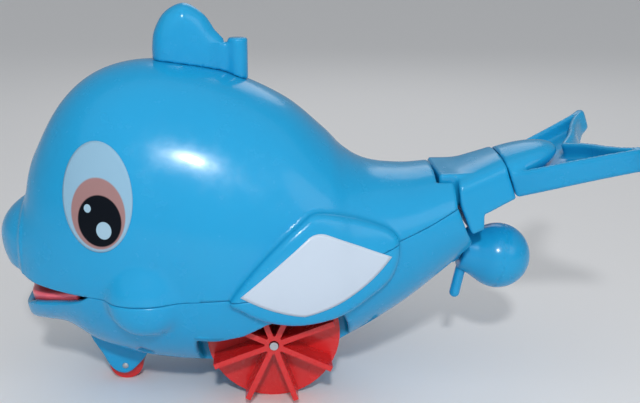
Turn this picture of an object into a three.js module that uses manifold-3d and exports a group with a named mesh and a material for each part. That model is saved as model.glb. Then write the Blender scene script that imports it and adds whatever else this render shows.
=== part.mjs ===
// A pull-cord bath toy: a whale-shaped shell that paddles on two bladed wheels, with a spring drum,
// a gear train, a small front wheel and a tail that flaps. Millimetres, +Z up, nose towards -X,
// left side towards -Y, origin on the floor below the middle of the toy.
import * as THREE from "three";
import { ConvexGeometry } from "three/addons/geometries/ConvexGeometry.js";
import { mergeVertices } from "three/addons/utils/BufferGeometryUtils.js";
import Module from "manifold-3d";

// Overall length, fits and walls
const TOY_LENGTH = 233;
const GAP = 0.3;
const PLAY = 0.35;
const WALL = 2.2;
const RIB = 2;

// Body sections from nose to tail: x, top, bottom, half width, height of the widest line
const BODY_STATIONS = [
  [-107.6, 34, 33, 0, 33.5],
  [-106.5, 50, 28.4, 12, 38],
  [-104.5, 81, 26.8, 19.5, 46],
  [-99.5, 95, 26.4, 26, 52],
  [-91, 109, 25, 32, 58],
  [-80, 118.4, 18, 37.5, 62],
  [-66, 123, 13.2, 41.5, 62],
  [-50, 123, 10.8, 43, 58],
  [-30, 118.4, 10, 43.5, 54],
  [-10, 109, 11, 42.5, 52],
  [4, 97.5, 14.5, 40, 52],
  [12, 89.6, 18.6, 37.5, 53],
  [21, 84.6, 23.5, 34.8, 55],
  [34, 83, 31.5, 30.5, 60],
  [47, 84, 41.5, 25.8, 65],
  [60, 85, 53, 21.5, 68],
];
const SECTION_POWER = 2.2;
const NOSE_FADE = 12;
const SNOUT_TIP = -TOY_LENGTH / 2;
const SNOUT_LENGTH = 32.5;
const SNOUT_HALF_WIDTH = 27;
const SNOUT_MIDDLE = 60;
const SNOUT_ABOVE = 19;
const SNOUT_BELOW = 28.5;
const CHEEK_X = -60;
const CHEEK_Z = 44.5;
const CHEEK_SPREAD = 13;
const CHEEK_RISE = 2.5;
const CHEEK_DEPTH = 8;

// Seam between the shells, from the corner of the mouth back, and the open mouth in front of it
const SEAM = [[-80, 45], [-58, 44.5], [-28, 46], [0, 51], [28, 62], [45, 68.7], [75, 84]];
const LIP_EDGE = [[-113, 50], [-107, 49], [-101.5, 47.3], [-96, 46.4], [-88.5, 45.4]];
const JAW_EDGE = [[-113, 33.6], [-108, 35.2], [-103.4, 37.8], [-97.8, 38.7], [-90, 40.3], [-84, 42.3]];
const TONGUE_THICK = 3.2;
const TONGUE_SET_BACK = 3;
const LINING_SET_BACK = 6;
const LINING_HEIGHT = 9;

// Eyes, flippers and their inlays
const EYE_X = -74.5;
const EYE_Z = 81.4;
const EYE_HALF_WIDTH = 12.4;
const EYE_HALF_HEIGHT = 18.6;
const LABEL_THICK = 0.5;
const FLIPPER_RISE = 3.6;
const FLIPPER_OUTLINE = [
  [-30, 46], [-19, 60], [-6, 72], [2, 75.2], [25, 68], [29.5, 60], [26.5, 50],
  [18.9, 43.5], [9, 37.5], [-5, 35.2], [-17.8, 37.4], [-27, 42.5],
];
const PANEL_FRONT = [-26.5, 48];
const PANEL_TOP = [[-3, 67.9], [0, 70], [4, 68.2]];
const PANEL_BACK = [26.3, 58.6];
const PANEL_LOW = [[14.1, 42.9], [-4.5, 39.6], [-16, 41.5]];
const PANEL_DEPTH = 1.4;
const PANEL_SET_DOWN = 0.3;

// Dorsal fin
const FIN_FRONT = -58;
const FIN_BACK = -31.5;
const FIN_BASE = 114;
const FIN_CROWN = [[-58, 128], [-57, 134], [-53, 140.6], [-46, 143.7], [-39, 140], [-34.8, 134.4]];
const FIN_HALF_THICK = 6;
const FIN_ROUND = 2.5;
const WEB_HALF_THICK = 2;
const POST_X = -27;
const POST_R = 3.6;
const POST_TOP = 131.2;
const FIN_TAB_FRONT = -53;
const FIN_TAB_BACK = -42;
const FIN_TAB_DEEP = 8;

// Paddle wheels and their wells
const AXLE_X = -15.3;
const DISC_R = 24.5;
const DISC_SIDES = 48;
const DISC_IN = 19.4;
const DISC_THICK = 2.4;
const BLADE_R = 23;
const BLADE_OUT = 33;
const BLADE_THICK = 2;
const BLADES = 8;
const BLADE_PHASE = 20;
const HUB_R = 3.4;
const AXLE_R = 1.5;
const AXLE_TIP = 33.8;
const WELL_R = 27.5;
const WELL_IN = 18.4;
const WELL_OUT = 35.2;
const FENDER_EDGE = [[-60, 21], [-41, 25.7], [-36, 27.1], [-26, 29.9], [-17.8, 34.8], [13, 46]];
const SEAL_R = 4;
const SEAL_FLANGE = 1;

// Front wheel
const FRONT_X = -72.5;
const FRONT_R = 6.5;
const FRONT_SIDES = 32;
const FRONT_HALF_WIDTH = 4;
const FRONT_PIN_R = 1.2;
const CHEEK_PLATE_IN = 4.8;
const CHEEK_PLATE_THICK = 2.4;
const CHEEK_PLATE = [
  [-84.5, 22], [-80.4, 10.5], [-77.6, 5.6], [-74.6, 3.5], [-71.2, 3.6], [-67.6, 6.6], [-63.6, 12], [-62, 20],
];
const FRONT_WELL_PLAY = 1.2;

// Tail
const EAR_EDGE = [[50.4, 110], [50.8, 83.3], [51.6, 72], [55.6, 62.4], [58.6, 57], [55.6, 42]];
const NOTCH_X = 44.8;
const NOTCH_HALF = 16.6;
const NOTCH_FLOOR = 58;
const TAIL_PLAY = 1.5;
const TAIL_PIVOT_X = 48.2;
const TAIL_PIVOT_Z = 77.3;
const TAIL_PIN_R = 1.2;
const PIN_HALF_LENGTH = 20.5;
const ROOT_FRONT = 46;
const ROOT_TOP = 82.6;
const ROOT_BOTTOM = 71;
const TAIL_PITCH = 19;
const STOCK_END_X = 69.4;
const STOCK_END_Z = 88.6;
const STOCK_DEEP = 16.3;
const STOCK_CROWN = 5.5;
const STOCK_HALF_FRONT = 20.5;
const STOCK_HALF_BACK = 15.5;
const LUG_BACK = 62.5;
const LUG_BOTTOM = 61;
const LUG_TOP = 68;
const FLUKE_HALF_SPAN = 40;
const FLUKE_SINK = 6.5;
const FLUKE_THICK = 9.6;
const FLUKE_TIP_THICK = 8;
const FLUKE_RIM = 2.6;
const FLUKE_FLOOR = 4;
const CREST_LONG = 22;
// Fluke edges from root to tip and back to the middle, in shares of its length and half span
const FLUKE_FRONT_EDGE = [[0.22, 0.52], [0.54, 0.7], [0.85, 0.9], [0.95, 1]];
const FLUKE_BACK_EDGE = [[1, 0.97], [0.99, 0.88], [0.9, 0.74], [0.81, 0.52], [0.72, 0.24], [0.6, 0]];
const POCKET_TIP = [0.9, 0.86];
const TAB_LONG = 8;
const TAB_HALF = 7;
const TAB_THICK = 5;

// Pull cord, knob and eyelet
const DOCK_X = 57.2;
const DOCK_Z = 49.7;
const PULL_TILT = 12;
const CORD_R = 0.8;
const EYELET_BORE_R = 1.4;
const EYELET_R = 3.4;
const EYELET_FLANGE_R = 4.8;
const EYELET_FLANGE = 1;
const EYELET_LONG = 7;
const COLLAR_R = 6;
const KNOB_BASE_R = 7.6;
const KNOB_BALL_R = 12.6;
const KNOB_BALL_AT = 15.1;
const BAR_R = 2;
const BAR_BELOW = 20;
const BAR_ABOVE = 9.5;
const BAR_AT = 2.4;

// Spring drum
const WIND_R = 12;
const CORD_START = 94;
const DRUM_CORE_R = 9.7;
const DRUM_FLANGE_R = 15.5;
const DRUM_FLANGE = 1.2;
const DRUM_HALF = 4;
const DRUM_HUB_R = 3.4;
const SHAFT_R = 1.5;
const RATCHET_R = 7;
const RATCHET_TEETH = 8;
const SPRING_IN = 4.6;
const SPRING_TURNS = 5;
const SPRING_PITCH = 2;
const SPRING_THICK = 0.7;
const SPRING_WIDE = 5.5;

// Gear train, in the plane on the right of the drum
const MODULE = 1;
const PINION_TEETH = 12;
const IDLER_TEETH = 20;
const DRUM_TEETH = 36;
const BACKLASH = 0.3;
const GEAR_IN = 6;
const GEAR_FACE = 3.5;
const ECCENTRIC = 1.6;
const ECCENTRIC_R = 4.2;
const ROD_PLAY = 0.6;
const ROD_THICK = 2;
const ROD_HIGH = 4;
const ROD_STROKE = 2.8;
const ROD_TIP_GAP = 0.8;
const ROD_END_Z = 63.6;

// Gear frame and screws
const FRAME_IN = 13;
const FRAME_THICK = 1.6;
const FRAME_EDGE = 6;
const FRAME_POST_R = 2.6;
const FRAME_POST_REACH = 23.5;
const SCREW_R = 1.2;
const SCREW_HEAD_R = 2.4;
const SCREW_HEAD = 1.6;
const SHELL_SCREWS = [[-62, -24], [-62, 24], [20, -20], [20, 20]];
const SCREW_SEAT = 33;
const SCREW_BITE = 9;
const BOSS_R = 4.4;

// Derived places
const AXLE_Z = DISC_R;
const FRONT_Z = FRONT_R;
const tilt = THREE.MathUtils.degToRad(PULL_TILT);
const pitch = THREE.MathUtils.degToRad(TAIL_PITCH);
const pull = new THREE.Vector3(Math.cos(tilt), 0, -Math.sin(tilt));
const pullUp = new THREE.Vector3(Math.sin(tilt), 0, Math.cos(tilt));
const dock = new THREE.Vector3(DOCK_X, 0, DOCK_Z);
const axle = new THREE.Vector2(AXLE_X, AXLE_Z);
const drumTangent = dock.clone().addScaledVector(pull, -CORD_START);
const drumCentre3 = drumTangent.clone().addScaledVector(pullUp, -WIND_R);
const drum = new THREE.Vector2(drumCentre3.x, drumCentre3.z);
const FAR = 400;

// The idler stands where both of its meshes have their centre distance, behind the line of the other two.
const drumToIdler = (MODULE * (DRUM_TEETH + IDLER_TEETH)) / 2 + BACKLASH;
const idlerToAxle = (MODULE * (IDLER_TEETH + PINION_TEETH)) / 2 + BACKLASH;
const drumToAxle = axle.clone().sub(drum);
const span = drumToAxle.length();
const along = (drumToIdler ** 2 - idlerToAxle ** 2 + span ** 2) / (2 * span);
const aside = Math.sqrt(drumToIdler ** 2 - along ** 2);
const toAxle = drumToAxle.clone().normalize();
const idler = drum.clone().addScaledVector(toAxle, along);
idler.add(new THREE.Vector2(-toAxle.y, toAxle.x).multiplyScalar(aside));

const wasm = await Module();
wasm.setup();

function solid(geometry) {
  geometry.deleteAttribute("normal");
  geometry.deleteAttribute("uv");
  const merged = mergeVertices(geometry, 1e-4);
  const triangles = [];
  const corners = merged.index.array;
  for (let i = 0; i < corners.length; i += 3) {
    const [a, b, c] = corners.slice(i, i + 3);
    if (a !== b && b !== c && c !== a) triangles.push(a, b, c);
  }
  const vertProperties = new Float32Array(merged.attributes.position.array);
  const triVerts = new Uint32Array(triangles);
  return new wasm.Manifold(new wasm.Mesh({ numProp: 3, vertProperties, triVerts }));
}

const join = (...solids) => solids.reduce((all, next) => all.add(next));
const cut = (base, ...tools) => tools.reduce((left, tool) => left.subtract(tool), base);
const common = (...solids) => solids.reduce((all, next) => all.intersect(next));

function box(x0, x1, y0, y1, z0, z1) {
  const geometry = new THREE.BoxGeometry(x1 - x0, y1 - y0, z1 - z0);
  return solid(geometry.translate((x0 + x1) / 2, (y0 + y1) / 2, (z0 + z1) / 2));
}

// A round bar along Y. Its flats, not its corners, lie at the radius, and one flat faces down.
function barY(radius, [x, z], y0, y1, sides = 24) {
  const corner = radius / Math.cos(Math.PI / sides);
  const geometry = new THREE.CylinderGeometry(corner, corner, y1 - y0, sides);
  return solid(geometry.rotateY(Math.PI / sides).translate(x, (y0 + y1) / 2, z));
}

function barZ(radius, [x, y], z0, z1, sides = 20) {
  const geometry = new THREE.CylinderGeometry(radius, radius, z1 - z0, sides);
  return solid(geometry.rotateX(Math.PI / 2).translate(x, y, (z0 + z1) / 2));
}

// A turned piece on the pull axis: the profile holds radius and distance from the dock.
function onPullAxis(profile, sides = 28) {
  const geometry = new THREE.LatheGeometry(profile.map(([r, s]) => new THREE.Vector2(r, s)), sides);
  const turn = new THREE.Quaternion().setFromUnitVectors(new THREE.Vector3(0, 1, 0), pull);
  return solid(geometry.applyQuaternion(turn).translate(dock.x, dock.y, dock.z));
}

const shapeOf = (points) => new THREE.Shape(points.map(([x, z]) => new THREE.Vector2(x, z)));

// A side outline in X and Z, made solid from y0 to y1.
function plate(shape, y0, y1, bevel = 0) {
  const geometry = new THREE.ExtrudeGeometry(shape, {
    depth: y1 - y0 - 2 * bevel,
    bevelEnabled: bevel > 0,
    bevelThickness: bevel,
    bevelSize: bevel,
    bevelOffset: -bevel,
    bevelSegments: 3,
    curveSegments: 12,
  });
  return solid(geometry.rotateX(Math.PI / 2).translate(0, y1 - bevel, 0));
}

// Both sides of the toy, from a piece given for one side.
const bothSides = (make) => join(make(-1), make(1));
const sideSpan = (side, near, far) => (side < 0 ? [-far, -near] : [near, far]);

// Body skin: rings of rounded sections, grown or shrunk by an offset.
const RINGS = 25;
const RING_POINTS = 28;
const [topLine, bottomLine, halfLine, widestLine] = [1, 2, 3, 4].map(
  (column) => new THREE.SplineCurve(BODY_STATIONS.map((row) => new THREE.Vector2(row[0], row[column]))),
);

function skin(offset) {
  const noseX = BODY_STATIONS[0][0];
  const positions = [noseX - offset, 0, BODY_STATIONS[0][4]];
  const least = 0.3;
  const power = 2 / SECTION_POWER;
  for (let k = 1; k <= RINGS; k++) {
    const t = k / RINGS;
    const { x, y: top } = topLine.getPoint(t);
    const widest = widestLine.getPoint(t).y;
    const half = Math.max(halfLine.getPoint(t).y + offset, least);
    const above = Math.max(top - widest + offset, least);
    const below = Math.max(widest - bottomLine.getPoint(t).y + offset, least);
    for (let j = 0; j < RING_POINTS; j++) {
      const angle = (2 * Math.PI * j) / RING_POINTS;
      const [c, s] = [Math.cos(angle), Math.sin(angle)];
      const y = half * Math.sign(c) * Math.abs(c) ** power;
      const z = (s > 0 ? above : below) * Math.sign(s) * Math.abs(s) ** power;
      positions.push(x - offset * Math.exp((noseX - x) / NOSE_FADE), y, widest + z);
    }
  }
  const last = 1 + (RINGS - 1) * RING_POINTS;
  const tailCentre = positions.length / 3;
  positions.push(BODY_STATIONS.at(-1)[0], 0, BODY_STATIONS.at(-1)[4]);
  const faces = [];
  for (let j = 0; j < RING_POINTS; j++) {
    const next = (j + 1) % RING_POINTS;
    faces.push(0, 1 + next, 1 + j, tailCentre, last + j, last + next);
    for (let k = 0; k < RINGS - 1; k++) {
      const a = 1 + k * RING_POINTS;
      const b = a + RING_POINTS;
      faces.push(a + j, a + next, b + next, a + j, b + next, b + j);
    }
  }
  const geometry = new THREE.BufferGeometry();
  geometry.setAttribute("position", new THREE.Float32BufferAttribute(positions, 3));
  return solid(geometry.setIndex(faces));
}

function ellipsoid([x, y, z], [rx, ry, above, below], wide, high) {
  const geometry = new THREE.SphereGeometry(1, wide, high);
  const points = geometry.attributes.position;
  for (let i = 0; i < points.count; i++) {
    const rise = points.getZ(i);
    const rz = rise > 0 ? above : below;
    points.setXYZ(i, x + rx * points.getX(i), y + ry * points.getY(i), z + rz * rise);
  }
  return solid(geometry);
}

const snout = (offset) =>
  ellipsoid(
    [SNOUT_TIP + SNOUT_LENGTH, 0, SNOUT_MIDDLE],
    [SNOUT_LENGTH, SNOUT_HALF_WIDTH, SNOUT_ABOVE, SNOUT_BELOW].map((size) => size + offset),
    22,
    14,
  );

const bodySkin = skin(0);
const bodyInside = skin(-WALL);

// Half width of the body skin at a place on its side.
function halfWidthAt(x, z) {
  let [low, high] = [0, 1];
  for (let step = 0; step < 30; step++) {
    const middle = (low + high) / 2;
    if (topLine.getPoint(middle).x < x) low = middle;
    else high = middle;
  }
  const widest = widestLine.getPoint(low).y;
  const reach = z > widest ? topLine.getPoint(low).y - widest : widest - bottomLine.getPoint(low).y;
  const share = Math.min(Math.abs(z - widest) / reach, 1);
  return halfLine.getPoint(low).y * (1 - share ** SECTION_POWER) ** (1 / SECTION_POWER);
}

const cheek = (side) =>
  ellipsoid(
    [CHEEK_X, side * (halfWidthAt(CHEEK_X, CHEEK_Z) + CHEEK_RISE - CHEEK_DEPTH), CHEEK_Z],
    [CHEEK_SPREAD, CHEEK_DEPTH, CHEEK_SPREAD, CHEEK_SPREAD],
    16,
    12,
  );

// Side outlines
const closedCurve = (points) =>
  new THREE.CatmullRomCurve3(points.map(([x, z]) => new THREE.Vector3(x, 0, z)), true, "catmullrom", 0.5);
const flipperPoints = closedCurve(FLIPPER_OUTLINE).getPoints(40).slice(0, -1);
const flipperShape = shapeOf(flipperPoints.map(({ x, z }) => [x, z]));

function panelShape(grow) {
  const shape = new THREE.Shape();
  const middle = [(PANEL_FRONT[0] + PANEL_BACK[0]) / 2, (PANEL_FRONT[1] + PANEL_BACK[1]) / 2];
  const grown = ([x, z]) => {
    const away = new THREE.Vector2(x - middle[0], z - middle[1]);
    const longer = away.clone().setLength(away.length() + grow);
    return [middle[0] + longer.x, middle[1] + longer.y];
  };
  shape.moveTo(...grown(PANEL_FRONT));
  shape.lineTo(...grown(PANEL_TOP[0]));
  shape.quadraticCurveTo(...grown(PANEL_TOP[1]), ...grown(PANEL_TOP[2]));
  shape.lineTo(...grown(PANEL_BACK));
  shape.quadraticCurveTo(...grown(PANEL_LOW[0]), ...grown(PANEL_LOW[1]));
  shape.quadraticCurveTo(...grown(PANEL_LOW[2]), ...grown(PANEL_FRONT));
  return shape;
}

function eyeShape() {
  const shape = new THREE.Shape();
  shape.absellipse(EYE_X, EYE_Z, EYE_HALF_WIDTH, EYE_HALF_HEIGHT, 0, 2 * Math.PI, false, 0);
  return shape;
}

// The space above the seam, and the space below it, with the open mouth between them in front.
const seamPoints = new THREE.SplineCurve(SEAM.map(([x, z]) => new THREE.Vector2(x, z))).getPoints(24);

function seamEdge(front, drop) {
  const points = [...front, [SEAM[0][0], SEAM[0][1] - drop]].map(([x, z]) => new THREE.Vector2(x, z));
  const mouth = new THREE.SplineCurve(points).getPoints(12).map(({ x, y }) => [x, y]);
  return [[-FAR, front[0][1]], ...mouth, ...seamPoints.slice(1).map(({ x, y }) => [x, y - drop])];
}

const upperEdge = seamEdge(LIP_EDGE, 0);
const lowerEdge = seamEdge(JAW_EDGE, GAP);
const fromEdge = (edge, far) =>
  plate(shapeOf([...edge, [FAR, edge.at(-1)[1]], [FAR, far], [-FAR, far]]), -FAR, FAR);
const aboveSeam = fromEdge(upperEdge, FAR);
const belowSeam = fromEdge(lowerEdge, -FAR);

// Shell bodies
const wellBar = (grow, far) =>
  bothSides((side) => barY(WELL_R + grow, [AXLE_X, AXLE_Z], ...sideSpan(side, WELL_IN - grow, far), 40));
const belowFender = plate(
  shapeOf([...FENDER_EDGE, [FENDER_EDGE.at(-1)[0], -FAR], [FENDER_EDGE[0][0], -FAR]]),
  -FAR,
  FAR,
);
const wheelWells = join(wellBar(0, WELL_OUT), common(wellBar(0, FAR), belowFender));
function frontWell(grow) {
  const half = CHEEK_PLATE_IN + grow;
  return barY(FRONT_R + FRONT_WELL_PLAY + grow, [FRONT_X, FRONT_Z], -half, half, 28);
}

const behindEars = plate(
  shapeOf([...EAR_EDGE, [FAR, EAR_EDGE.at(-1)[1]], [FAR, EAR_EDGE[0][1]]]),
  -FAR,
  FAR,
);
const notch = box(NOTCH_X, FAR, -NOTCH_HALF, NOTCH_HALF, NOTCH_FLOOR, FAR);

const leaf = (side, low, high, shape) =>
  common(cut(skin(high), skin(low)), plate(shape, ...sideSpan(side, 0, FAR)));
const flipperBulge = bothSides((side) => leaf(side, -WALL, FLIPPER_RISE, flipperShape));
const panelTop = FLIPPER_RISE - PANEL_SET_DOWN;
const panelFloor = panelTop - PANEL_DEPTH;
const panelRecess = bothSides((side) => leaf(side, panelFloor - GAP, FLIPPER_RISE + 1, panelShape(GAP)));

const cheekPlates = bothSides((side) =>
  plate(shapeOf(CHEEK_PLATE), ...sideSpan(side, CHEEK_PLATE_IN, CHEEK_PLATE_IN + CHEEK_PLATE_THICK)),
);
const collarStart = -(EYELET_LONG + RIB);
const collar = onPullAxis([
  [0, collarStart],
  [COLLAR_R, collarStart],
  [COLLAR_R, -EYELET_FLANGE],
  [0, -EYELET_FLANGE],
]);
const eyeletSeat = onPullAxis([
  [0, collarStart - RIB],
  [EYELET_R + GAP, collarStart - RIB],
  [EYELET_R + GAP, -EYELET_FLANGE],
  [EYELET_FLANGE_R + GAP, -EYELET_FLANGE],
  [EYELET_FLANGE_R + GAP, 0],
  [KNOB_BASE_R + 1, 0],
  [KNOB_BASE_R + 1, KNOB_BALL_R],
  [0, KNOB_BALL_R],
]);

// The push rod leaves the body through a slot in front of the tail's lug.
const rodY0 = GEAR_IN + GEAR_FACE + 2 * PLAY;
const rodY1 = rodY0 + ROD_THICK;
const rodSlot = box(
  NOTCH_X - 2 * WALL, FAR, rodY0 - ROD_PLAY, rodY1 + ROD_PLAY, NOTCH_FLOOR - 3 * WALL, LUG_TOP,
);

const outside = cut(
  join(cut(join(bodySkin, snout(0), bothSides(cheek)), wheelWells), flipperBulge, cheekPlates, collar),
  panelRecess, frontWell(0), behindEars, notch, eyeletSeat,
);
const inside = cut(
  join(bodyInside, snout(-WALL)),
  wellBar(WALL, FAR),
  frontWell(WALL),
  box(NOTCH_X - WALL, FAR, -FAR, FAR, NOTCH_FLOOR - WALL, FAR),
  box(DOCK_X - 2 * WALL, FAR, -FAR, FAR, -FAR, FAR),
  collar,
);
const axleHoles = barY(SEAL_R, [AXLE_X, AXLE_Z], -WELL_IN - 1, WELL_IN + 1);
const frontPinHole = barY(FRONT_PIN_R + GAP, [FRONT_X, FRONT_Z], -FAR, FAR, 16);
const tailPivot = [TAIL_PIVOT_X, TAIL_PIVOT_Z];
const tailPinHole = barY(TAIL_PIN_R + GAP, tailPivot, -PIN_HALF_LENGTH - GAP, PIN_HALF_LENGTH + GAP);
const shell = cut(outside, inside, axleHoles, frontPinHole, tailPinHole, rodSlot);

// Screw bosses stand in both shells and meet at the seam.
const bosses = common(join(...SHELL_SCREWS.map((at) => barZ(BOSS_R, at, 0, FAR))), bodySkin);
const screwBore = (at) => barZ(SCREW_R + GAP, at, 0, seamAt(at[0]) + SCREW_BITE + 1);
const screwBores = join(...SHELL_SCREWS.map(screwBore));
const headBores = join(...SHELL_SCREWS.map((at) => barZ(SCREW_HEAD_R + GAP, at, -FAR, SCREW_SEAT)));

function seamAt(x) {
  const k = seamPoints.findIndex((point) => point.x > x);
  const [a, b] = [seamPoints[k - 1], seamPoints[k]];
  return a.y + ((b.y - a.y) * (x - a.x)) / (b.x - a.x);
}

// Gear frame: two plates round the train, held apart by posts on the left plate.
const polar = (centre, radius, degrees) => {
  const angle = THREE.MathUtils.degToRad(degrees);
  return new THREE.Vector2(centre.x + radius * Math.cos(angle), centre.y + radius * Math.sin(angle));
};
const pinionTip = (MODULE * PINION_TEETH) / 2 + MODULE;
const framePosts = [
  polar(drum, FRAME_POST_REACH, 55),
  polar(drum, FRAME_POST_REACH, 165),
  polar(axle, pinionTip + FRAME_POST_R + 3, 195),
  polar(axle, pinionTip + FRAME_POST_R + 3, 10),
];

function framePlate(y0, y1) {
  const points = [...framePosts, axle, drum].flatMap((centre) =>
    Array.from({ length: 12 }, (_, k) => polar(centre, FRAME_EDGE, 30 * k)).flatMap(({ x, y }) => [
      new THREE.Vector3(x, y0, y),
      new THREE.Vector3(x, y1, y),
    ]),
  );
  const holes = [barY(AXLE_R + GAP + PLAY, [axle.x, axle.y], -FAR, FAR)];
  for (const centre of [drum, idler]) holes.push(barY(SHAFT_R + GAP, [centre.x, centre.y], -FAR, FAR));
  return cut(solid(new ConvexGeometry(points)), ...holes);
}

const frameOut = FRAME_IN + FRAME_THICK;
const postHole = ({ x, y }) => barY(SCREW_R + GAP, [x, y], FRAME_IN - SCREW_BITE - 1, FAR, 16);
const framePost = ({ x, y }) => barY(FRAME_POST_R, [x, y], -frameOut, FRAME_IN - GAP, 16);
const frameLeft = cut(
  join(framePlate(-frameOut, -FRAME_IN), ...framePosts.map(framePost)),
  ...framePosts.map(postHole),
);
const frameRight = cut(framePlate(FRAME_IN, frameOut), ...framePosts.map(postHole));

// Ribs on the floor of the lower shell carry both plates below the two lower posts.
const frameRib = ({ x, y }) =>
  bothSides((side) => {
    const [y0, y1] = sideSpan(side, FRAME_IN - RIB / 2, frameOut + RIB / 2);
    return box(x - RIB / 2, x + RIB / 2, y0, y1, 0, y - FRAME_EDGE - GAP);
  });
const frameRibs = common(join(...framePosts.slice(2).map(frameRib)), bodySkin);

const finTab = (grow) =>
  box(
    FIN_TAB_FRONT - grow, FIN_TAB_BACK + grow, -WEB_HALF_THICK - grow, WEB_HALF_THICK + grow,
    FIN_BASE - FIN_TAB_DEEP + WALL - grow, FIN_CROWN[0][1],
  );
const upperShell = cut(join(common(shell, aboveSeam), common(bosses, aboveSeam)), screwBores, finTab(GAP));
const lowerShell = cut(
  join(common(shell, belowSeam), common(bosses, belowSeam), common(frameRibs, belowSeam)),
  screwBores, headBores, notch, wheelWells,
);

// Mouth
function overJaw(inset, low, high) {
  const raised = (rise) => JAW_EDGE.map(([x, z]) => [x, z + rise]);
  return common(skin(-inset), plate(shapeOf([...raised(low), ...raised(high).reverse()]), -FAR, FAR));
}
const tongue = overJaw(TONGUE_SET_BACK, GAP, TONGUE_THICK);
const mouthLining = overJaw(LINING_SET_BACK, TONGUE_THICK + GAP, TONGUE_THICK + LINING_HEIGHT);

// Dorsal fin: a thick rounded lobe, a thin web and a round post, on one tab that plugs into the head.
const finCrown = new THREE.SplineCurve(FIN_CROWN.map(([x, z]) => new THREE.Vector2(x, z))).getPoints(14);
const finShape = shapeOf([
  [FIN_FRONT, FIN_BASE - 2 * RIB],
  ...finCrown.map(({ x, y }) => [x, y]),
  [FIN_BACK, POST_TOP],
  [FIN_BACK, FIN_BASE - 2 * RIB],
]);
const finBody = join(
  plate(finShape, -FIN_HALF_THICK, FIN_HALF_THICK, FIN_ROUND),
  box(
    FIN_BACK - FIN_ROUND, POST_X, -WEB_HALF_THICK, WEB_HALF_THICK,
    FIN_BASE - 2 * RIB, POST_TOP - RIB,
  ),
  barZ(POST_R, [POST_X, 0], FIN_BASE - 2 * RIB, POST_TOP, 24),
);
const dorsalFin = join(cut(finBody, skin(GAP)), finTab(0));

// Wheels
function paddleWheel(side) {
  const disc = barY(DISC_R, [AXLE_X, AXLE_Z], ...sideSpan(side, DISC_IN, DISC_IN + DISC_THICK), DISC_SIDES);
  const hub = barY(HUB_R, [AXLE_X, AXLE_Z], ...sideSpan(side, DISC_IN - RIB / 4, BLADE_OUT));
  const blades = Array.from({ length: BLADES }, (_, k) => {
    const [y0, y1] = sideSpan(side, DISC_IN + DISC_THICK / 2, BLADE_OUT);
    const blade = new THREE.BoxGeometry(BLADE_R, y1 - y0, BLADE_THICK);
    blade.translate(BLADE_R / 2, (y0 + y1) / 2, 0);
    blade.rotateY(-THREE.MathUtils.degToRad(BLADE_PHASE + (360 * k) / BLADES));
    return solid(blade.translate(AXLE_X, 0, AXLE_Z));
  });
  return cut(join(disc, hub, ...blades), barY(AXLE_R + GAP, [AXLE_X, AXLE_Z], -FAR, FAR, 16));
}

const driveAxle = barY(AXLE_R, [AXLE_X, AXLE_Z], -AXLE_TIP, AXLE_TIP, 16);
const sealStart = WELL_IN - WALL - SEAL_FLANGE;
const axleSeal = (side) =>
  cut(
    join(
      barY(SEAL_R - GAP, [AXLE_X, AXLE_Z], ...sideSpan(side, sealStart, WELL_IN)),
      barY(SEAL_R + SEAL_FLANGE, [AXLE_X, AXLE_Z], ...sideSpan(side, sealStart, WELL_IN - WALL - GAP)),
    ),
    barY(AXLE_R + PLAY, [AXLE_X, AXLE_Z], -FAR, FAR, 16),
  );
const frontWheel = cut(
  barY(FRONT_R, [FRONT_X, FRONT_Z], -FRONT_HALF_WIDTH, FRONT_HALF_WIDTH, FRONT_SIDES),
  barY(FRONT_PIN_R + PLAY, [FRONT_X, FRONT_Z], -FAR, FAR, 16),
);
const frontPinEnd = CHEEK_PLATE_IN + CHEEK_PLATE_THICK;
const frontAxle = barY(FRONT_PIN_R, [FRONT_X, FRONT_Z], -frontPinEnd, frontPinEnd, 12);

// Gears
function gearShape(teeth, phase, bore) {
  const pitchR = (MODULE * teeth) / 2;
  const [rootR, tipR] = [pitchR - 1.25 * MODULE, pitchR + 0.8 * MODULE];
  const step = (2 * Math.PI) / teeth;
  const [rootHalf, tipHalf] = [0.24 * step, 0.1 * step];
  const points = [];
  for (let k = 0; k < teeth; k++) {
    const middle = phase + k * step;
    for (const [radius, turn] of [[rootR, -rootHalf], [tipR, -tipHalf], [tipR, tipHalf], [rootR, rootHalf]])
      points.push([radius * Math.cos(middle + turn), radius * Math.sin(middle + turn)]);
  }
  const shape = shapeOf(points);
  const hole = new THREE.Path();
  hole.absarc(0, 0, bore, 0, 2 * Math.PI, true);
  shape.holes.push(hole);
  return shape;
}

function gear(centre, teeth, phase, bore, y0, y1) {
  const geometry = new THREE.ExtrudeGeometry(gearShape(teeth, phase, bore), {
    depth: y1 - y0,
    bevelEnabled: false,
    curveSegments: 16,
  });
  return solid(geometry.rotateX(Math.PI / 2).translate(centre.x, y1, centre.y));
}

// A tooth of each driver points along the line of centres, and the next gear has a gap there.
const direction = (from, to) => Math.atan2(to.y - from.y, to.x - from.x);
function meshPhase(centre, mate, mateTeeth, matePhase, teeth) {
  const mateShare = ((direction(mate, centre) - matePhase) * mateTeeth) / (2 * Math.PI);
  return direction(centre, mate) - ((0.5 - mateShare) * 2 * Math.PI) / teeth;
}

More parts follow.
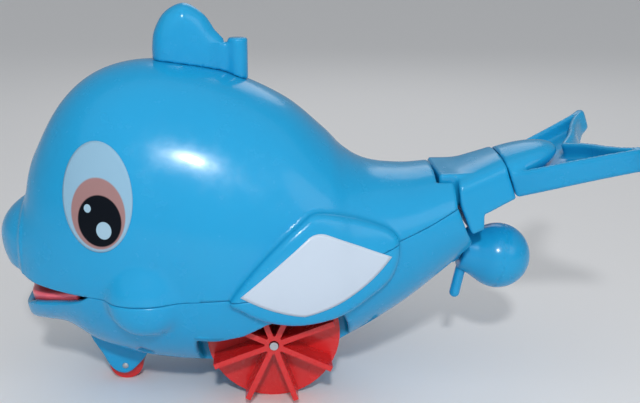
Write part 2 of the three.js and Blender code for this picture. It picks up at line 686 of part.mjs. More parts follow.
const drumPhase = direction(drum, idler);
const idlerPhase = meshPhase(idler, drum, DRUM_TEETH, drumPhase, IDLER_TEETH);
const pinionPhase = meshPhase(axle, idler, IDLER_TEETH, idlerPhase, PINION_TEETH);
const gearOut = GEAR_IN + GEAR_FACE;
const shaftBore = SHAFT_R + PLAY;
const axlePinion = gear(axle, PINION_TEETH, pinionPhase, AXLE_R + GAP, GEAR_IN, gearOut);
const drumGear = gear(drum, DRUM_TEETH, drumPhase, shaftBore, GEAR_IN, gearOut);
const eccentricAt = [idler.x + ECCENTRIC, idler.y];
const idlerGear = join(
  gear(idler, IDLER_TEETH, idlerPhase, shaftBore, GEAR_IN, gearOut),
  cut(
    barY(ECCENTRIC_R, eccentricAt, gearOut - PLAY, FRAME_IN - PLAY),
    barY(shaftBore, [idler.x, idler.y], -FAR, FAR, 16),
  ),
);
const shaft = (centre) => barY(SHAFT_R, [centre.x, centre.y], -frameOut, frameOut, 16);

// Spring drum: core and flanges for the cord, a ratchet rim beside the gear and a hub inside the spring
const drumHubEnd = -FRAME_IN + PLAY;
const ratchetEnd = GEAR_IN - PLAY;
const ratchetStep = 360 / RATCHET_TEETH;
const ratchetShape = new THREE.Shape(
  Array.from({ length: RATCHET_TEETH }, (_, k) => ratchetStep * k).flatMap((angle) => [
    polar(drum, RATCHET_R, angle),
    polar(drum, RATCHET_R - RIB, angle + ratchetStep / 10),
  ]),
);
const drumAt = [drum.x, drum.y];
const cordDrum = cut(
  join(
    barY(DRUM_CORE_R, drumAt, -DRUM_HALF, DRUM_HALF, 32),
    barY(DRUM_FLANGE_R, drumAt, -DRUM_HALF, -DRUM_HALF + DRUM_FLANGE, 36),
    barY(DRUM_FLANGE_R, drumAt, DRUM_HALF - DRUM_FLANGE, DRUM_HALF, 36),
    barY(DRUM_HUB_R, drumAt, drumHubEnd, -DRUM_HALF + PLAY, 24),
    plate(ratchetShape, DRUM_HALF - PLAY, ratchetEnd),
  ),
  barY(shaftBore, drumAt, -FAR, FAR, 16),
);
const windHalf = DRUM_HALF - DRUM_FLANGE - GAP;
const cordWinding = cut(
  barY(WIND_R + CORD_R, drumAt, -windHalf, windHalf, 40),
  barY(DRUM_CORE_R + GAP + PLAY, drumAt, -FAR, FAR, 40),
);
const pawlY = [DRUM_HALF + PLAY, ratchetEnd];
const pawlZ = drum.y + RATCHET_R + 2 * PLAY;
const ratchetPawl = box(drum.x - RIB, drum.x + RIB, ...pawlY, pawlZ, pawlZ + RIB);

// Mainspring: a flat spiral strip round the drum's hub
const spiralSteps = 20 * SPRING_TURNS;
const spiralEdge = (shift) =>
  Array.from({ length: spiralSteps + 1 }, (_, k) => {
    const radius = SPRING_IN + (SPRING_PITCH * k) / 20 + shift;
    const at = polar(drum, radius, (360 * k) / 20);
    return [at.x, at.y];
  });
const springY1 = -DRUM_HALF - 1;
const mainspring = plate(
  shapeOf([...spiralEdge(SPRING_THICK / 2), ...spiralEdge(-SPRING_THICK / 2).reverse()]),
  springY1 - SPRING_WIDE,
  springY1,
);

// Push rod: a yoke round the eccentric, and a flat bar to the lug under the tail
const lugFrontAt = (z) => {
  const k = EAR_EDGE.findIndex((point) => point[1] < z);
  const [[x0, z0], [x1, z1]] = EAR_EDGE.slice(k - 1, k + 1);
  return x0 + ((x1 - x0) * (z - z0)) / (z1 - z0) + TAIL_PLAY;
};
const rodEnd = new THREE.Vector2(lugFrontAt(ROD_END_Z) - ROD_TIP_GAP, ROD_END_Z);
const rodAngle = direction(idler, rodEnd);
const rodLength = idler.distanceTo(rodEnd);
const sweep = ECCENTRIC_R / Math.cos(Math.PI / 24) + ECCENTRIC + ROD_PLAY;
const yokeBack = -sweep - ROD_STROKE;

function rodPlate(x0, x1, z0, z1, y0, y1) {
  const geometry = new THREE.BoxGeometry(x1 - x0, y1 - y0, z1 - z0);
  geometry.translate((x0 + x1) / 2, (y0 + y1) / 2, (z0 + z1) / 2).rotateY(-rodAngle);
  return solid(geometry.translate(idler.x, 0, idler.y));
}

const tailPushRod = cut(
  join(
    rodPlate(yokeBack - RIB, sweep + RIB, -sweep - RIB, sweep + RIB, rodY0, rodY1),
    rodPlate(sweep, rodLength, -ROD_HIGH / 2, ROD_HIGH / 2, rodY0, rodY1),
  ),
  rodPlate(yokeBack, sweep, -sweep, sweep, rodY0 - 1, rodY1 + 1),
);

// Tail: the stock is a crowned bar that tapers to the fluke, with a hinge root in front and a lug below.
function tailFrame(geometry) {
  return geometry.rotateY(-pitch).translate(STOCK_END_X, 0, STOCK_END_Z);
}

const stockLong = 1.5 * (STOCK_END_X - EAR_EDGE[1][0]);
function stockBar() {
  const shape = new THREE.Shape();
  const side = STOCK_DEEP * 2;
  shape.moveTo(-1, -side);
  shape.lineTo(1, -side);
  shape.lineTo(1, -STOCK_CROWN);
  shape.quadraticCurveTo(1, 0, 0, 0);
  shape.quadraticCurveTo(-1, 0, -1, -STOCK_CROWN);
  const settings = { depth: stockLong, bevelEnabled: false, curveSegments: 6 };
  const geometry = new THREE.ExtrudeGeometry(shape, settings);
  geometry.rotateX(Math.PI / 2).rotateZ(-Math.PI / 2);
  const points = geometry.attributes.position;
  const taperLength = (STOCK_END_X - EAR_EDGE[1][0]) / Math.cos(pitch);
  for (let i = 0; i < points.count; i++) {
    const share = -points.getX(i) / taperLength;
    const half = STOCK_HALF_BACK + (STOCK_HALF_FRONT - STOCK_HALF_BACK) * share;
    points.setY(i, points.getY(i) * half);
  }
  return solid(tailFrame(geometry));
}

const earLine = EAR_EDGE.map(([x, z]) => [x + TAIL_PLAY, z]);
const lugFront = lugFrontAt(LUG_BOTTOM);
const stockUnder = [
  [lugFront, LUG_BOTTOM],
  [LUG_BACK, LUG_BOTTOM + (LUG_BACK - lugFront) * Math.tan(pitch)],
  [LUG_BACK, LUG_TOP],
  [STOCK_END_X + STOCK_DEEP * Math.sin(pitch), STOCK_END_Z - STOCK_DEEP * Math.cos(pitch)],
];
const stockSide = plate(shapeOf([...earLine.slice(0, 4), ...stockUnder, [FAR, FAR]]), -FAR, FAR);
const rootHalf = NOTCH_HALF - TAIL_PLAY;
const hingeRoot = box(ROOT_FRONT, LUG_BACK, -rootHalf, rootHalf, ROOT_BOTTOM, ROOT_TOP);

// A box in the tail's own frame: along the stock from its end, across, and up from its top line.
function tailBox(u0, u1, half, w0, w1) {
  const geometry = new THREE.BoxGeometry(u1 - u0, 2 * half, w1 - w0);
  return solid(tailFrame(geometry.translate((u0 + u1) / 2, 0, (w0 + w1) / 2)));
}

const flukeTab = (grow) =>
  tailBox(-TAB_LONG - grow, 1, TAB_HALF + grow, -FLUKE_SINK - TAB_THICK - grow, -FLUKE_SINK + grow);

const tailStock = cut(
  join(common(stockBar(), stockSide), hingeRoot),
  barY(TAIL_PIN_R + PLAY, tailPivot, -FAR, FAR, 16),
  flukeTab(GAP),
);
const tailPin = barY(TAIL_PIN_R, tailPivot, -PIN_HALF_LENGTH, PIN_HALF_LENGTH, 16);

// Fluke: a swept plate below the line of the stock, sunken on top, with the stock's crest running out on it
const tipX = TOY_LENGTH / 2 - (FLUKE_SINK + FLUKE_TIP_THICK) * Math.sin(pitch);
const flukeLong = (tipX - STOCK_END_X) / Math.cos(pitch) - GAP;
const ofFluke = ([u, v]) => [u * flukeLong, v * FLUKE_HALF_SPAN];
const flukeRoot = [0, STOCK_HALF_BACK];
const flukeOutline = [flukeRoot, ...FLUKE_FRONT_EDGE.map(ofFluke), ...FLUKE_BACK_EDGE.map(ofFluke)];
const pocketOutline = [
  flukeRoot,
  ...[...FLUKE_FRONT_EDGE.slice(0, 2), POCKET_TIP, ...FLUKE_BACK_EDGE.slice(3)].map(ofFluke),
];
function flukePlate(halfOutline, inset, w0, w1) {
  const right = halfOutline.map(([u, v]) => [u + GAP, v]);
  const left = right.slice(0, -1).reverse().map(([u, v]) => [u, -v]);
  const outline = [...right, ...left];
  const inner = outline.map(([u, v], k) => {
    const before = outline[(k + outline.length - 1) % outline.length];
    const after = outline[(k + 1) % outline.length];
    const a = new THREE.Vector2(u - before[0], v - before[1]).normalize();
    const b = new THREE.Vector2(after[0] - u, after[1] - v).normalize();
    const inward = new THREE.Vector2(a.y + b.y, -a.x - b.x).normalize();
    const lean = Math.max(inward.dot(new THREE.Vector2(a.y, -a.x)), 0.45);
    return [u + (inward.x * inset) / lean, v + (inward.y * inset) / lean];
  });
  const geometry = new THREE.ExtrudeGeometry(shapeOf(inner), { depth: w1 - w0, bevelEnabled: false });
  geometry.translate(0, 0, w0);
  const points = geometry.attributes.position;
  const lobeSpan = FLUKE_HALF_SPAN - STOCK_HALF_BACK;
  for (let i = 0; i < points.count; i++) {
    const share = Math.max(Math.abs(points.getY(i)) - STOCK_HALF_BACK, 0) / lobeSpan;
    const thinning = THREE.MathUtils.lerp(1, FLUKE_TIP_THICK / FLUKE_THICK, share);
    points.setZ(i, points.getZ(i) * thinning - FLUKE_SINK);
  }
  return solid(tailFrame(geometry));
}

const crestBall = new THREE.SphereGeometry(1, 24, 16).scale(CREST_LONG, STOCK_HALF_BACK, FLUKE_SINK);
const crest = common(
  solid(tailFrame(crestBall.translate(0, 0, -FLUKE_SINK))),
  tailBox(GAP, CREST_LONG, STOCK_HALF_BACK, -2 * FLUKE_SINK, 0),
);
const tailFluke = join(
  cut(
    flukePlate(flukeOutline, 0, -FLUKE_THICK, 0),
    flukePlate(pocketOutline, FLUKE_RIM, FLUKE_FLOOR - FLUKE_THICK, 1),
  ),
  crest,
  flukeTab(0),
);

// Cord, eyelet and knob on the pull axis
const cordEyelet = onPullAxis([
  [EYELET_BORE_R, -EYELET_LONG],
  [EYELET_R, -EYELET_LONG],
  [EYELET_R, -EYELET_FLANGE + GAP],
  [EYELET_FLANGE_R, -EYELET_FLANGE + GAP],
  [EYELET_FLANGE_R, 0],
  [EYELET_BORE_R, 0],
  [EYELET_BORE_R, -EYELET_LONG],
]);
const cordInner = -CORD_START + Math.sqrt((WIND_R + 2 * CORD_R) ** 2 - (WIND_R - CORD_R) ** 2);
const cordEnd = BAR_AT - BAR_R - GAP;
const pullCord = onPullAxis([[0, cordInner], [CORD_R, cordInner], [CORD_R, cordEnd], [0, cordEnd]], 8);

function crossbar(radius) {
  const geometry = new THREE.CapsuleGeometry(radius, BAR_BELOW + BAR_ABOVE - 2 * BAR_R, 4, 16);
  const turn = new THREE.Quaternion().setFromUnitVectors(new THREE.Vector3(0, 1, 0), pullUp);
  const middle = (BAR_ABOVE - BAR_BELOW) / 2;
  const at = dock.clone().addScaledVector(pull, BAR_AT).addScaledVector(pullUp, middle);
  return solid(geometry.applyQuaternion(turn).translate(at.x, at.y, at.z));
}

const ballTurn = Array.from({ length: 14 }, (_, k) => {
  const angle = THREE.MathUtils.lerp(0.7 * Math.PI, 0, k / 13);
  return [KNOB_BALL_R * Math.sin(angle), KNOB_BALL_AT + KNOB_BALL_R * Math.cos(angle)];
});
const pullKnob = cut(
  onPullAxis([[0, GAP], [KNOB_BASE_R, GAP], ...ballTurn]),
  onPullAxis([[0, -1], [CORD_R + PLAY, -1], [CORD_R + PLAY, BAR_AT], [0, BAR_AT]], 16),
  crossbar(BAR_R + GAP),
);

// Screws
function screw(profile, place) {
  const geometry = new THREE.LatheGeometry(profile.map(([r, s]) => new THREE.Vector2(r, s)), 14);
  return solid(place(geometry));
}

const screwProfile = (length) => [
  [0, -SCREW_HEAD],
  [SCREW_HEAD_R, -SCREW_HEAD],
  [SCREW_HEAD_R, -GAP],
  [SCREW_R, -GAP],
  [SCREW_R, length],
  [0, length],
];
const shellScrew = ([x, y]) =>
  screw(screwProfile(seamAt(x) + SCREW_BITE - SCREW_SEAT), (geometry) =>
    geometry.rotateX(Math.PI / 2).translate(x, y, SCREW_SEAT),
  );
const frameScrew = ({ x, y }) =>
  screw(screwProfile(FRAME_THICK + SCREW_BITE), (geometry) =>
    geometry.rotateX(Math.PI).translate(x, frameOut, y),
  );

const eye = (side) => leaf(side, GAP, GAP + LABEL_THICK, eyeShape());
const flipperPanel = (side) => leaf(side, panelFloor, panelTop, panelShape(0));

// Finishes, from the photograph
const BLUE = [0x2f9fdc, 0.25, 0];
const WHITE = [0xe6ecf2, 0.3, 0];
const RED = [0xc81e1e, 0.3, 0];
const PINK = [0xf07a90, 0.4, 0];
const DARK_RED = [0x7d1f22, 0.4, 0];
const GREY = [0xb9bcc0, 0.5, 0];
const CREAM = [0xe9e2cc, 0.5, 0];
const STEEL = [0xb0b4b8, 0.3, 1];
const CORD_WHITE = [0xf0efe8, 0.8, 0];

const toy = new THREE.Group();
function piece(name, made, [color, roughness, metalness]) {
  const { vertProperties, triVerts } = made.getMesh();
  const geometry = new THREE.BufferGeometry();
  geometry.setAttribute("position", new THREE.Float32BufferAttribute(vertProperties, 3));
  geometry.setIndex(new THREE.Uint32BufferAttribute(triVerts, 1));
  geometry.computeVertexNormals();
  const mesh = new THREE.Mesh(geometry, new THREE.MeshStandardMaterial({ color, roughness, metalness }));
  mesh.name = name;
  toy.add(mesh);
}

piece("upper_shell", upperShell, BLUE);
piece("lower_shell", lowerShell, BLUE);
piece("dorsal_fin", dorsalFin, BLUE);
piece("tongue", tongue, PINK);
piece("mouth_lining", mouthLining, DARK_RED);
for (const [word, side] of [["left", -1], ["right", 1]]) {
  piece(`eye_${word}`, eye(side), WHITE);
  piece(`flipper_panel_${word}`, flipperPanel(side), WHITE);
  piece(`paddle_wheel_${word}`, paddleWheel(side), RED);
  piece(`axle_seal_${word}`, axleSeal(side), GREY);
}
piece("drive_axle", driveAxle, STEEL);
piece("axle_pinion", axlePinion, CREAM);
piece("idler_gear", idlerGear, CREAM);
piece("drum_gear", drumGear, CREAM);
piece("ratchet_pawl", ratchetPawl, GREY);
piece("cord_drum", cordDrum, CREAM);
piece("cord_winding", cordWinding, CORD_WHITE);
piece("mainspring", mainspring, STEEL);
piece("idler_shaft", shaft(idler), STEEL);
piece("drum_shaft", shaft(drum), STEEL);
piece("gear_frame_left", frameLeft, GREY);
piece("gear_frame_right", frameRight, GREY);
framePosts.forEach((at, k) => piece(`frame_screw_${k + 1}`, frameScrew(at), STEEL));
SHELL_SCREWS.forEach((at, k) => piece(`shell_screw_${k + 1}`, shellScrew(at), STEEL));
piece("front_wheel", frontWheel, RED);
piece("front_axle", frontAxle, STEEL);
piece("tail_stock", tailStock, BLUE);
piece("tail_fluke", tailFluke, BLUE);
piece("tail_pin", tailPin, STEEL);
piece("tail_push_rod", tailPushRod, GREY);
piece("cord_eyelet", cordEyelet, BLUE);
piece("pull_cord", pullCord, CORD_WHITE);
piece("pull_knob", pullKnob, BLUE);
piece("knob_crossbar", crossbar(BAR_R), BLUE);

export default toy;
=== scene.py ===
import math

import bmesh
import bpy
import numpy as np
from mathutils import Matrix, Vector


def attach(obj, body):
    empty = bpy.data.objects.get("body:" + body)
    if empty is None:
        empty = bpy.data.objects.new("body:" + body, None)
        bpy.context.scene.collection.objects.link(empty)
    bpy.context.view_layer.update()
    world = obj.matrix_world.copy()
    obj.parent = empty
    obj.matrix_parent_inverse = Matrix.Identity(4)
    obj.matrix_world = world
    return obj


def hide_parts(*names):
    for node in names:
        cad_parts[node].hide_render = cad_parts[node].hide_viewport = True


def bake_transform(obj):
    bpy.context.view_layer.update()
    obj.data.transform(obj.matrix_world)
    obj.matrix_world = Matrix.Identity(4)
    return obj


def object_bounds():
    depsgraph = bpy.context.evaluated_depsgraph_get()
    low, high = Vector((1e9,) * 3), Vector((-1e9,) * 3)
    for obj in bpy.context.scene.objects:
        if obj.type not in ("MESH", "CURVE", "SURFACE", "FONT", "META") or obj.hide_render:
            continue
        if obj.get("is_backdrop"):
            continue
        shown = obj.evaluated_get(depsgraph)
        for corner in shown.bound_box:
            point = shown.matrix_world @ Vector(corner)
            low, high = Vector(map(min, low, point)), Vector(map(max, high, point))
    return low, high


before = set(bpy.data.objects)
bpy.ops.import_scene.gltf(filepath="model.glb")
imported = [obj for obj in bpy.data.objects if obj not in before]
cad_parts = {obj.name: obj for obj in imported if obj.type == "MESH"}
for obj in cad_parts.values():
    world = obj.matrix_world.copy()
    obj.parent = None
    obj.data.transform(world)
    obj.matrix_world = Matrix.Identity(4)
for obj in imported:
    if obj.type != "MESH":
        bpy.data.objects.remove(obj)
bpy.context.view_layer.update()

# Body shells
# Two hollow halves of glossy blue ABS, injection moulded, meet along a seam that runs from the corners of the
# mouth through both flippers to the tail. Four screws from below hold them together.
MM = 0.001
# Each station: X, top, bottom, half width and height of the widest place. The outlines and edges are in X
# and Z.
BODY_STATIONS = MM * np.array(
    [
        (-107.6, 34, 33, 0, 33.5),
        (-106.5, 50, 28.4, 12, 38),
        (-104.5, 81, 26.8, 19.5, 46),
        (-99.5, 95, 26.4, 26, 52),
        (-91, 109, 25, 32, 58),
        (-80, 118.4, 18, 37.5, 62),
        (-66, 123, 13.2, 41.5, 62),
        (-50, 123, 10.8, 43, 58),
        (-30, 118.4, 10, 43.5, 54),
        (-10, 109, 11, 42.5, 52),
        (4, 97.5, 14.5, 40, 52),
        (12, 89.6, 18.6, 37.5, 53),
        (21, 84.6, 23.5, 34.8, 55),
        (34, 83, 31.5, 30.5, 60),
        (47, 84, 41.5, 25.8, 65),
        (60, 85, 53, 21.5, 68),
    ]
)
SECTION_POWER = 2.2
SECTION_LEAST = 0.2 * MM
STEEPEST = 6
SNOUT_CENTRE = MM * np.array((-84, 0, 60))
SNOUT_SIZE = MM * np.array((32.5, 27, 19))
SNOUT_BELOW = 28.5 * MM
SNOUT_BLEND = 5 * MM
CHEEK_CENTRE = MM * np.array((-60, 37.5, 44.5))
CHEEK_SIZE = MM * np.array((13, 8, 13))
CHEEK_BLEND = 3 * MM
SEAM = MM * np.array([(-80, 45), (-58, 44.5), (-28, 46), (0, 51), (28, 62), (45, 68.7), (75, 84)])
SEAM_GAP = 0.35 * MM
LIP = MM * np.array(
    [(-130, 50), (-113, 50), (-107, 49), (-101.5, 47.3), (-96, 46.4), (-88.5, 45.4), (-80, 45)]
)
JAW = MM * np.array(
    [
        (-130, 33.6), (-113, 33.6), (-108, 35.2), (-103.4, 37.8),
        (-97.8, 38.7), (-90, 40.3), (-84, 42.3), (-80, 45),
    ]
)
WALL = 2.2 * MM
CELL = 1.1 * MM
UPPER_BOX = MM * np.array([(-119, -50, 28), (63, 50, 126)])
LOWER_BOX = MM * np.array([(-112, -50, 2), (63, 50, 76)])
CURVE_STEPS, BODY_STEPS = 48, 600
SEAM_STEPS, LIP_STEPS = 60, 40
FLIPPER = MM * np.array(
    [
        (-30, 46), (-19, 60), (-6, 72), (2, 75.2), (25, 68), (29.5, 60), (26.5, 50),
        (18.9, 43.5), (9, 37.5), (-5, 35.2), (-17.8, 37.4), (-27, 42.5),
    ]
)
FLIPPER_RISE = 3.6 * MM
FLIPPER_EDGE, FLIPPER_INNER, FLIPPER_FILLET = 2.4 * MM, 0.8 * MM, 0.9 * MM
AXLE = MM * np.array((-15.3, 24.5))
WELL_RADIUS = 27.5 * MM
WELL_INNER, WELL_OUTER = 18.4 * MM, 35.2 * MM
WELL_EDGE = 1 * MM
FENDER = MM * np.array(
    [(-60, 21), (-41, 25.7), (-36, 27.1), (-26, 29.9), (-17.8, 34.8), (13, 46), (13, -50), (-60, -50)]
)
FRONT_AXLE = MM * np.array((-72.5, 6.5))
FRONT_WELL_RADIUS = 7.7 * MM
FRONT_WELL_EDGE = 0.6 * MM
FORK = MM * np.array(
    [
        (-84.5, 22), (-80.4, 10.5), (-77.6, 5.6), (-74.6, 3.5),
        (-71.2, 3.6), (-67.6, 6.6), (-63.6, 12), (-62, 20),
    ]
)
FORK_MIDDLE = 6 * MM
FORK_HALF = 1.2 * MM
FORK_EDGE, FORK_FILLET = 0.8 * MM, 1.2 * MM
EAR_EDGE = MM * np.array([(50.4, 110), (50.8, 83.3), (51.6, 72), (55.6, 62.4), (58.6, 57), (55.6, 42)])
FAR_BEHIND = 0.5
NOTCH_X, NOTCH_HALF, NOTCH_FLOOR = 44.8 * MM, 16.6 * MM, 58 * MM
NOTCH_EDGE = 0.8 * MM
DOCK = MM * np.array((57.2, 0, 49.7))
PULL_SLOPE = math.radians(12)
PULL = np.array((math.cos(PULL_SLOPE), 0, -math.sin(PULL_SLOPE)))
COLLAR_RADIUS = 6 * MM
COLLAR_MIDDLE, COLLAR_HALF, COLLAR_FILLET = -6 * MM, 5 * MM, 1.2 * MM
COLLAR_END = -1 * MM
EYELET_ROOM, KNOB_ROOM = 5.1 * MM, 8.6 * MM
SHELL_SCREWS = MM * np.array([(-62, 24), (20, 20)])
SCREW_SEAT = 33 * MM
SCREW_HOLE = 2.7 * MM
SCREW_EDGE = 0.4 * MM
BLUE = (0.010, 0.320, 0.620)


def spline(points, steps, closed=False):
    """Points along a uniform Catmull-Rom curve, with its ends held."""
    count = len(points)
    at = np.linspace(0, count if closed else count - 1, steps, endpoint=not closed)
    start = np.minimum(at.astype(int), count - (1 if closed else 2))
    t = (at - start)[:, None]
    pick = (lambda k: points[k % count]) if closed else (lambda k: points[np.clip(k, 0, count - 1)])
    before, a, b, after = (pick(start + k) for k in (-1, 0, 1, 2))
    slope_a, slope_b = (b - before) / 2, (after - a) / 2
    cubic = 2 * a - 2 * b + slope_a + slope_b
    square = 3 * b - 3 * a - 2 * slope_a - slope_b
    return cubic * t**3 + square * t**2 + slope_a * t + a


def soft_min(a, b, width):
    """The union of two distance fields, with a fillet of about this width."""
    share = np.clip(0.5 + 0.5 * (b - a) / width, 0, 1)
    return b + (a - b) * share - width * share * (1 - share)


def soft_max(a, b, width):
    """The common part of two distance fields, with a rounding of about this width."""
    return -soft_min(-a, -b, width)


def outline_distance(points, x, z):
    """Signed distance to a closed outline in X and Z, below zero inside."""
    nearest, sign = np.inf, 1.0
    for (ax, az), (bx, bz) in zip(points, np.roll(points, -1, axis=0)):
        ex, ez, wx, wz = bx - ax, bz - az, x - ax, z - az
        t = np.clip((wx * ex + wz * ez) / (ex * ex + ez * ez), 0, 1)
        nearest = np.minimum(nearest, (wx - ex * t) ** 2 + (wz - ez * t) ** 2)
        tests = np.stack(np.broadcast_arrays(z >= az, z < bz, ex * wz > ez * wx))
        sign = np.where(tests.all(axis=0) | ~tests.any(axis=0), -sign, sign)
    return sign * np.sqrt(nearest)


def ellipsoid(x, y, z, centre, size, below):
    """Near distance to an ellipsoid whose lower half can be deeper than its upper half."""
    rx, ry, rz = size
    px, py, pz = x - centre[0], y - centre[1], z - centre[2]
    rz = np.where(pz > 0, rz, below)
    k = np.sqrt((px / rx) ** 2 + (py / ry) ** 2 + (pz / rz) ** 2)
    slope = np.sqrt((px / rx**2) ** 2 + (py / ry**2) ** 2 + (pz / rz**2) ** 2)
    return k * (k - 1) / np.maximum(slope, 1e-6)


body_lines = spline(BODY_STATIONS, BODY_STEPS)


def loft(x, y, z):
    """Near distance to the body's rounded sections."""

    def section(at):
        top, bottom, half, widest = (np.interp(at, body_lines[:, 0], body_lines[:, k]) for k in (1, 2, 3, 4))
        reach = np.maximum(np.where(z > widest, top - widest, widest - bottom), SECTION_LEAST)
        half = np.maximum(half, SECTION_LEAST)
        power = (np.abs(y) / half) ** SECTION_POWER + (np.abs(z - widest) / reach) ** SECTION_POWER
        share = np.maximum(power, 1e-9) ** (1 / SECTION_POWER)
        radius = np.maximum(np.hypot(y, z - widest), 1e-7)
        return radius, radius / share

    step = 0.4 * MM
    radius, edge = section(x)
    growth = (section(x + step)[1] - section(x - step)[1]) / (2 * step)
    distance = (radius - edge) / np.sqrt(1 + np.clip(growth, -STEEPEST, STEEPEST) ** 2)
    ahead = np.maximum(body_lines[0, 0] - x, 0)
    return np.where(ahead > 0, np.hypot(np.maximum(radius - edge, 0), ahead), distance)


def cheeked(x, y, z):
    """The smooth body with its cheeks, before anything is cut."""
    cheek = ellipsoid(x, np.abs(y), z, CHEEK_CENTRE, CHEEK_SIZE, CHEEK_SIZE[2])
    return soft_min(loft(x, y, z), cheek, CHEEK_BLEND)


def head(x, y, z):
    """The body with cheeks and snout, before anything is cut."""
    snout = ellipsoid(x, y, z, SNOUT_CENTRE, SNOUT_SIZE, SNOUT_BELOW)
    return soft_min(cheeked(x, y, z), snout, SNOUT_BLEND)


def on_pull(x, y, z):
    """Along the line of the cord from the dock, and the distance from that line."""
    along = (x - DOCK[0]) * PULL[0] + (z - DOCK[2]) * PULL[2]
    across = np.hypot((x - DOCK[0]) * PULL[2] - (z - DOCK[2]) * PULL[0], y)
    return along, across


flipper_outline = spline(FLIPPER, CURVE_STEPS, closed=True)
fork_outline = spline(FORK, CURVE_STEPS, closed=True)
far_corner = np.array([(FAR_BEHIND, EAR_EDGE[-1, 1]), (FAR_BEHIND, EAR_EDGE[0, 1])])
behind_ears = np.vstack([EAR_EDGE, far_corner])


def finished(skin, x, y, z):
    """The skin with wheel wells, flippers, front fork, tail notch, cord collar and screw holes."""
    side = np.abs(y)
    well = np.maximum(np.hypot(x - AXLE[0], z - AXLE[1]) - WELL_RADIUS, WELL_INNER - side)
    inner_well = np.maximum(well, side - WELL_OUTER)
    open_side = np.maximum(well, outline_distance(FENDER, x, z))
    body = soft_max(skin, -np.minimum(inner_well, open_side), WELL_EDGE)
    leaf = outline_distance(flipper_outline, x, z)
    flipper = soft_max(skin - FLIPPER_RISE, leaf, FLIPPER_EDGE)
    flipper = soft_max(flipper, -(skin + WALL), FLIPPER_INNER)
    body = soft_min(body, flipper, FLIPPER_FILLET)
    cheek_plates = np.abs(side - FORK_MIDDLE) - FORK_HALF
    fork = soft_max(outline_distance(fork_outline, x, z), cheek_plates, FORK_EDGE)
    body = soft_min(body, fork, FORK_FILLET)
    front_well = np.hypot(x - FRONT_AXLE[0], z - FRONT_AXLE[1]) - FRONT_WELL_RADIUS
    body = soft_max(body, -np.maximum(front_well, side - FORK_MIDDLE + FORK_HALF), FRONT_WELL_EDGE)
    along, across = on_pull(x, y, z)
    collar = np.maximum(across - COLLAR_RADIUS, np.abs(along - COLLAR_MIDDLE) - COLLAR_HALF)
    body = soft_min(body, collar, COLLAR_FILLET)
    body = soft_max(body, -outline_distance(behind_ears, x, z), NOTCH_EDGE)
    body = np.maximum(body, -np.maximum(across - EYELET_ROOM, COLLAR_END - along))
    body = np.maximum(body, -np.maximum(across - KNOB_ROOM, -along))
    notch = np.maximum(np.maximum(NOTCH_X - x, side - NOTCH_HALF), NOTCH_FLOOR - z)
    body = soft_max(body, -notch, NOTCH_EDGE)
    for sx, sy in SHELL_SCREWS:
        hole = np.maximum(np.hypot(x - sx, side - sy) - SCREW_HOLE, z - SCREW_SEAT)
        body = soft_max(body, -hole, SCREW_EDGE)
    return body


def upper_field(x, y, z):
    return finished(head(x, y, z), x, y, z)


def lower_field(x, y, z):
    return finished(cheeked(x, y, z), x, y, z)


def surface(field, low, high, cell):
    """Vertices and quads on the zero surface of a distance field, one vertex in each cell that it crosses."""
    axes = [np.arange(a, b + cell, cell) for a, b in zip(low, high)]
    x, y, z = (axis.reshape([-1 if k == n else 1 for n in range(3)]) for k, axis in enumerate(axes))
    value = np.broadcast_to(field(x, y, z), [len(axis) for axis in axes])
    inside = value < 0
    corners = [(i, j, k) for i in (0, 1) for j in (0, 1) for k in (0, 1)]
    near, far = slice(0, -1), slice(1, None)
    held = [inside[tuple(far if c else near for c in corner)] for corner in corners]
    count = sum(part.astype(np.int8) for part in held)
    cells = np.argwhere((count > 0) & (count < 8))
    total, hits = np.zeros((len(cells), 3)), np.zeros(len(cells))
    samples = [value[tuple((cells + corner).T)] for corner in corners]
    for a, ca in enumerate(corners):
        for b, cb in enumerate(corners):
            if b <= a or sum(p != q for p, q in zip(ca, cb)) != 1:
                continue
            crosses = (samples[a] < 0) != (samples[b] < 0)
            gap = np.where(crosses, samples[a] - samples[b], 1)
            share = np.where(crosses, samples[a] / gap, 0)[:, None]
            total += np.where(crosses[:, None], ca + share * (np.array(cb) - ca), 0)
            hits += crosses
    points = np.array([axis[0] for axis in axes]) + cell * (cells + total / hits[:, None])
    number = np.full([len(axis) - 1 for axis in axes], -1)
    number[tuple(cells.T)] = np.arange(len(cells))
    quads = []
    for axis in range(3):
        ahead = [near if n == axis else slice(1, -1) for n in range(3)]
        beyond = [far if n == axis else slice(1, -1) for n in range(3)]
        a, b = inside[tuple(ahead)], inside[tuple(beyond)]
        at = np.argwhere(a != b)
        leaving = a[tuple(at.T)]
        u, v = (axis + 1) % 3, (axis + 2) % 3
        ring = []
        for du, dv in ((0, 0), (1, 0), (1, 1), (0, 1)):
            cell_at = at.copy()
            cell_at[:, u] += du
            cell_at[:, v] += dv
            ring.append(number[tuple(cell_at.T)])
        ring = np.stack(ring, axis=1)
        quads.append(np.where(leaving[:, None], ring, ring[:, ::-1]))
    step, rounds, least_slope = 0.05 * MM, 4, 0.05
    for _ in range(rounds):
        px, py, pz = points.T
        here = field(px, py, pz)
        slope = np.stack(
            [
                field(px + step, py, pz) - field(px - step, py, pz),
                field(px, py + step, pz) - field(px, py - step, pz),
                field(px, py, pz + step) - field(px, py, pz - step),
            ],
            axis=1,
        ) / (2 * step)
        move = -here[:, None] * slope / np.maximum((slope**2).sum(axis=1), least_slope)[:, None]
        length = np.linalg.norm(move, axis=1, keepdims=True)
        points = points + move * np.minimum(1, 0.5 * cell / np.maximum(length, 1e-9))
    return points, np.vstack(quads)


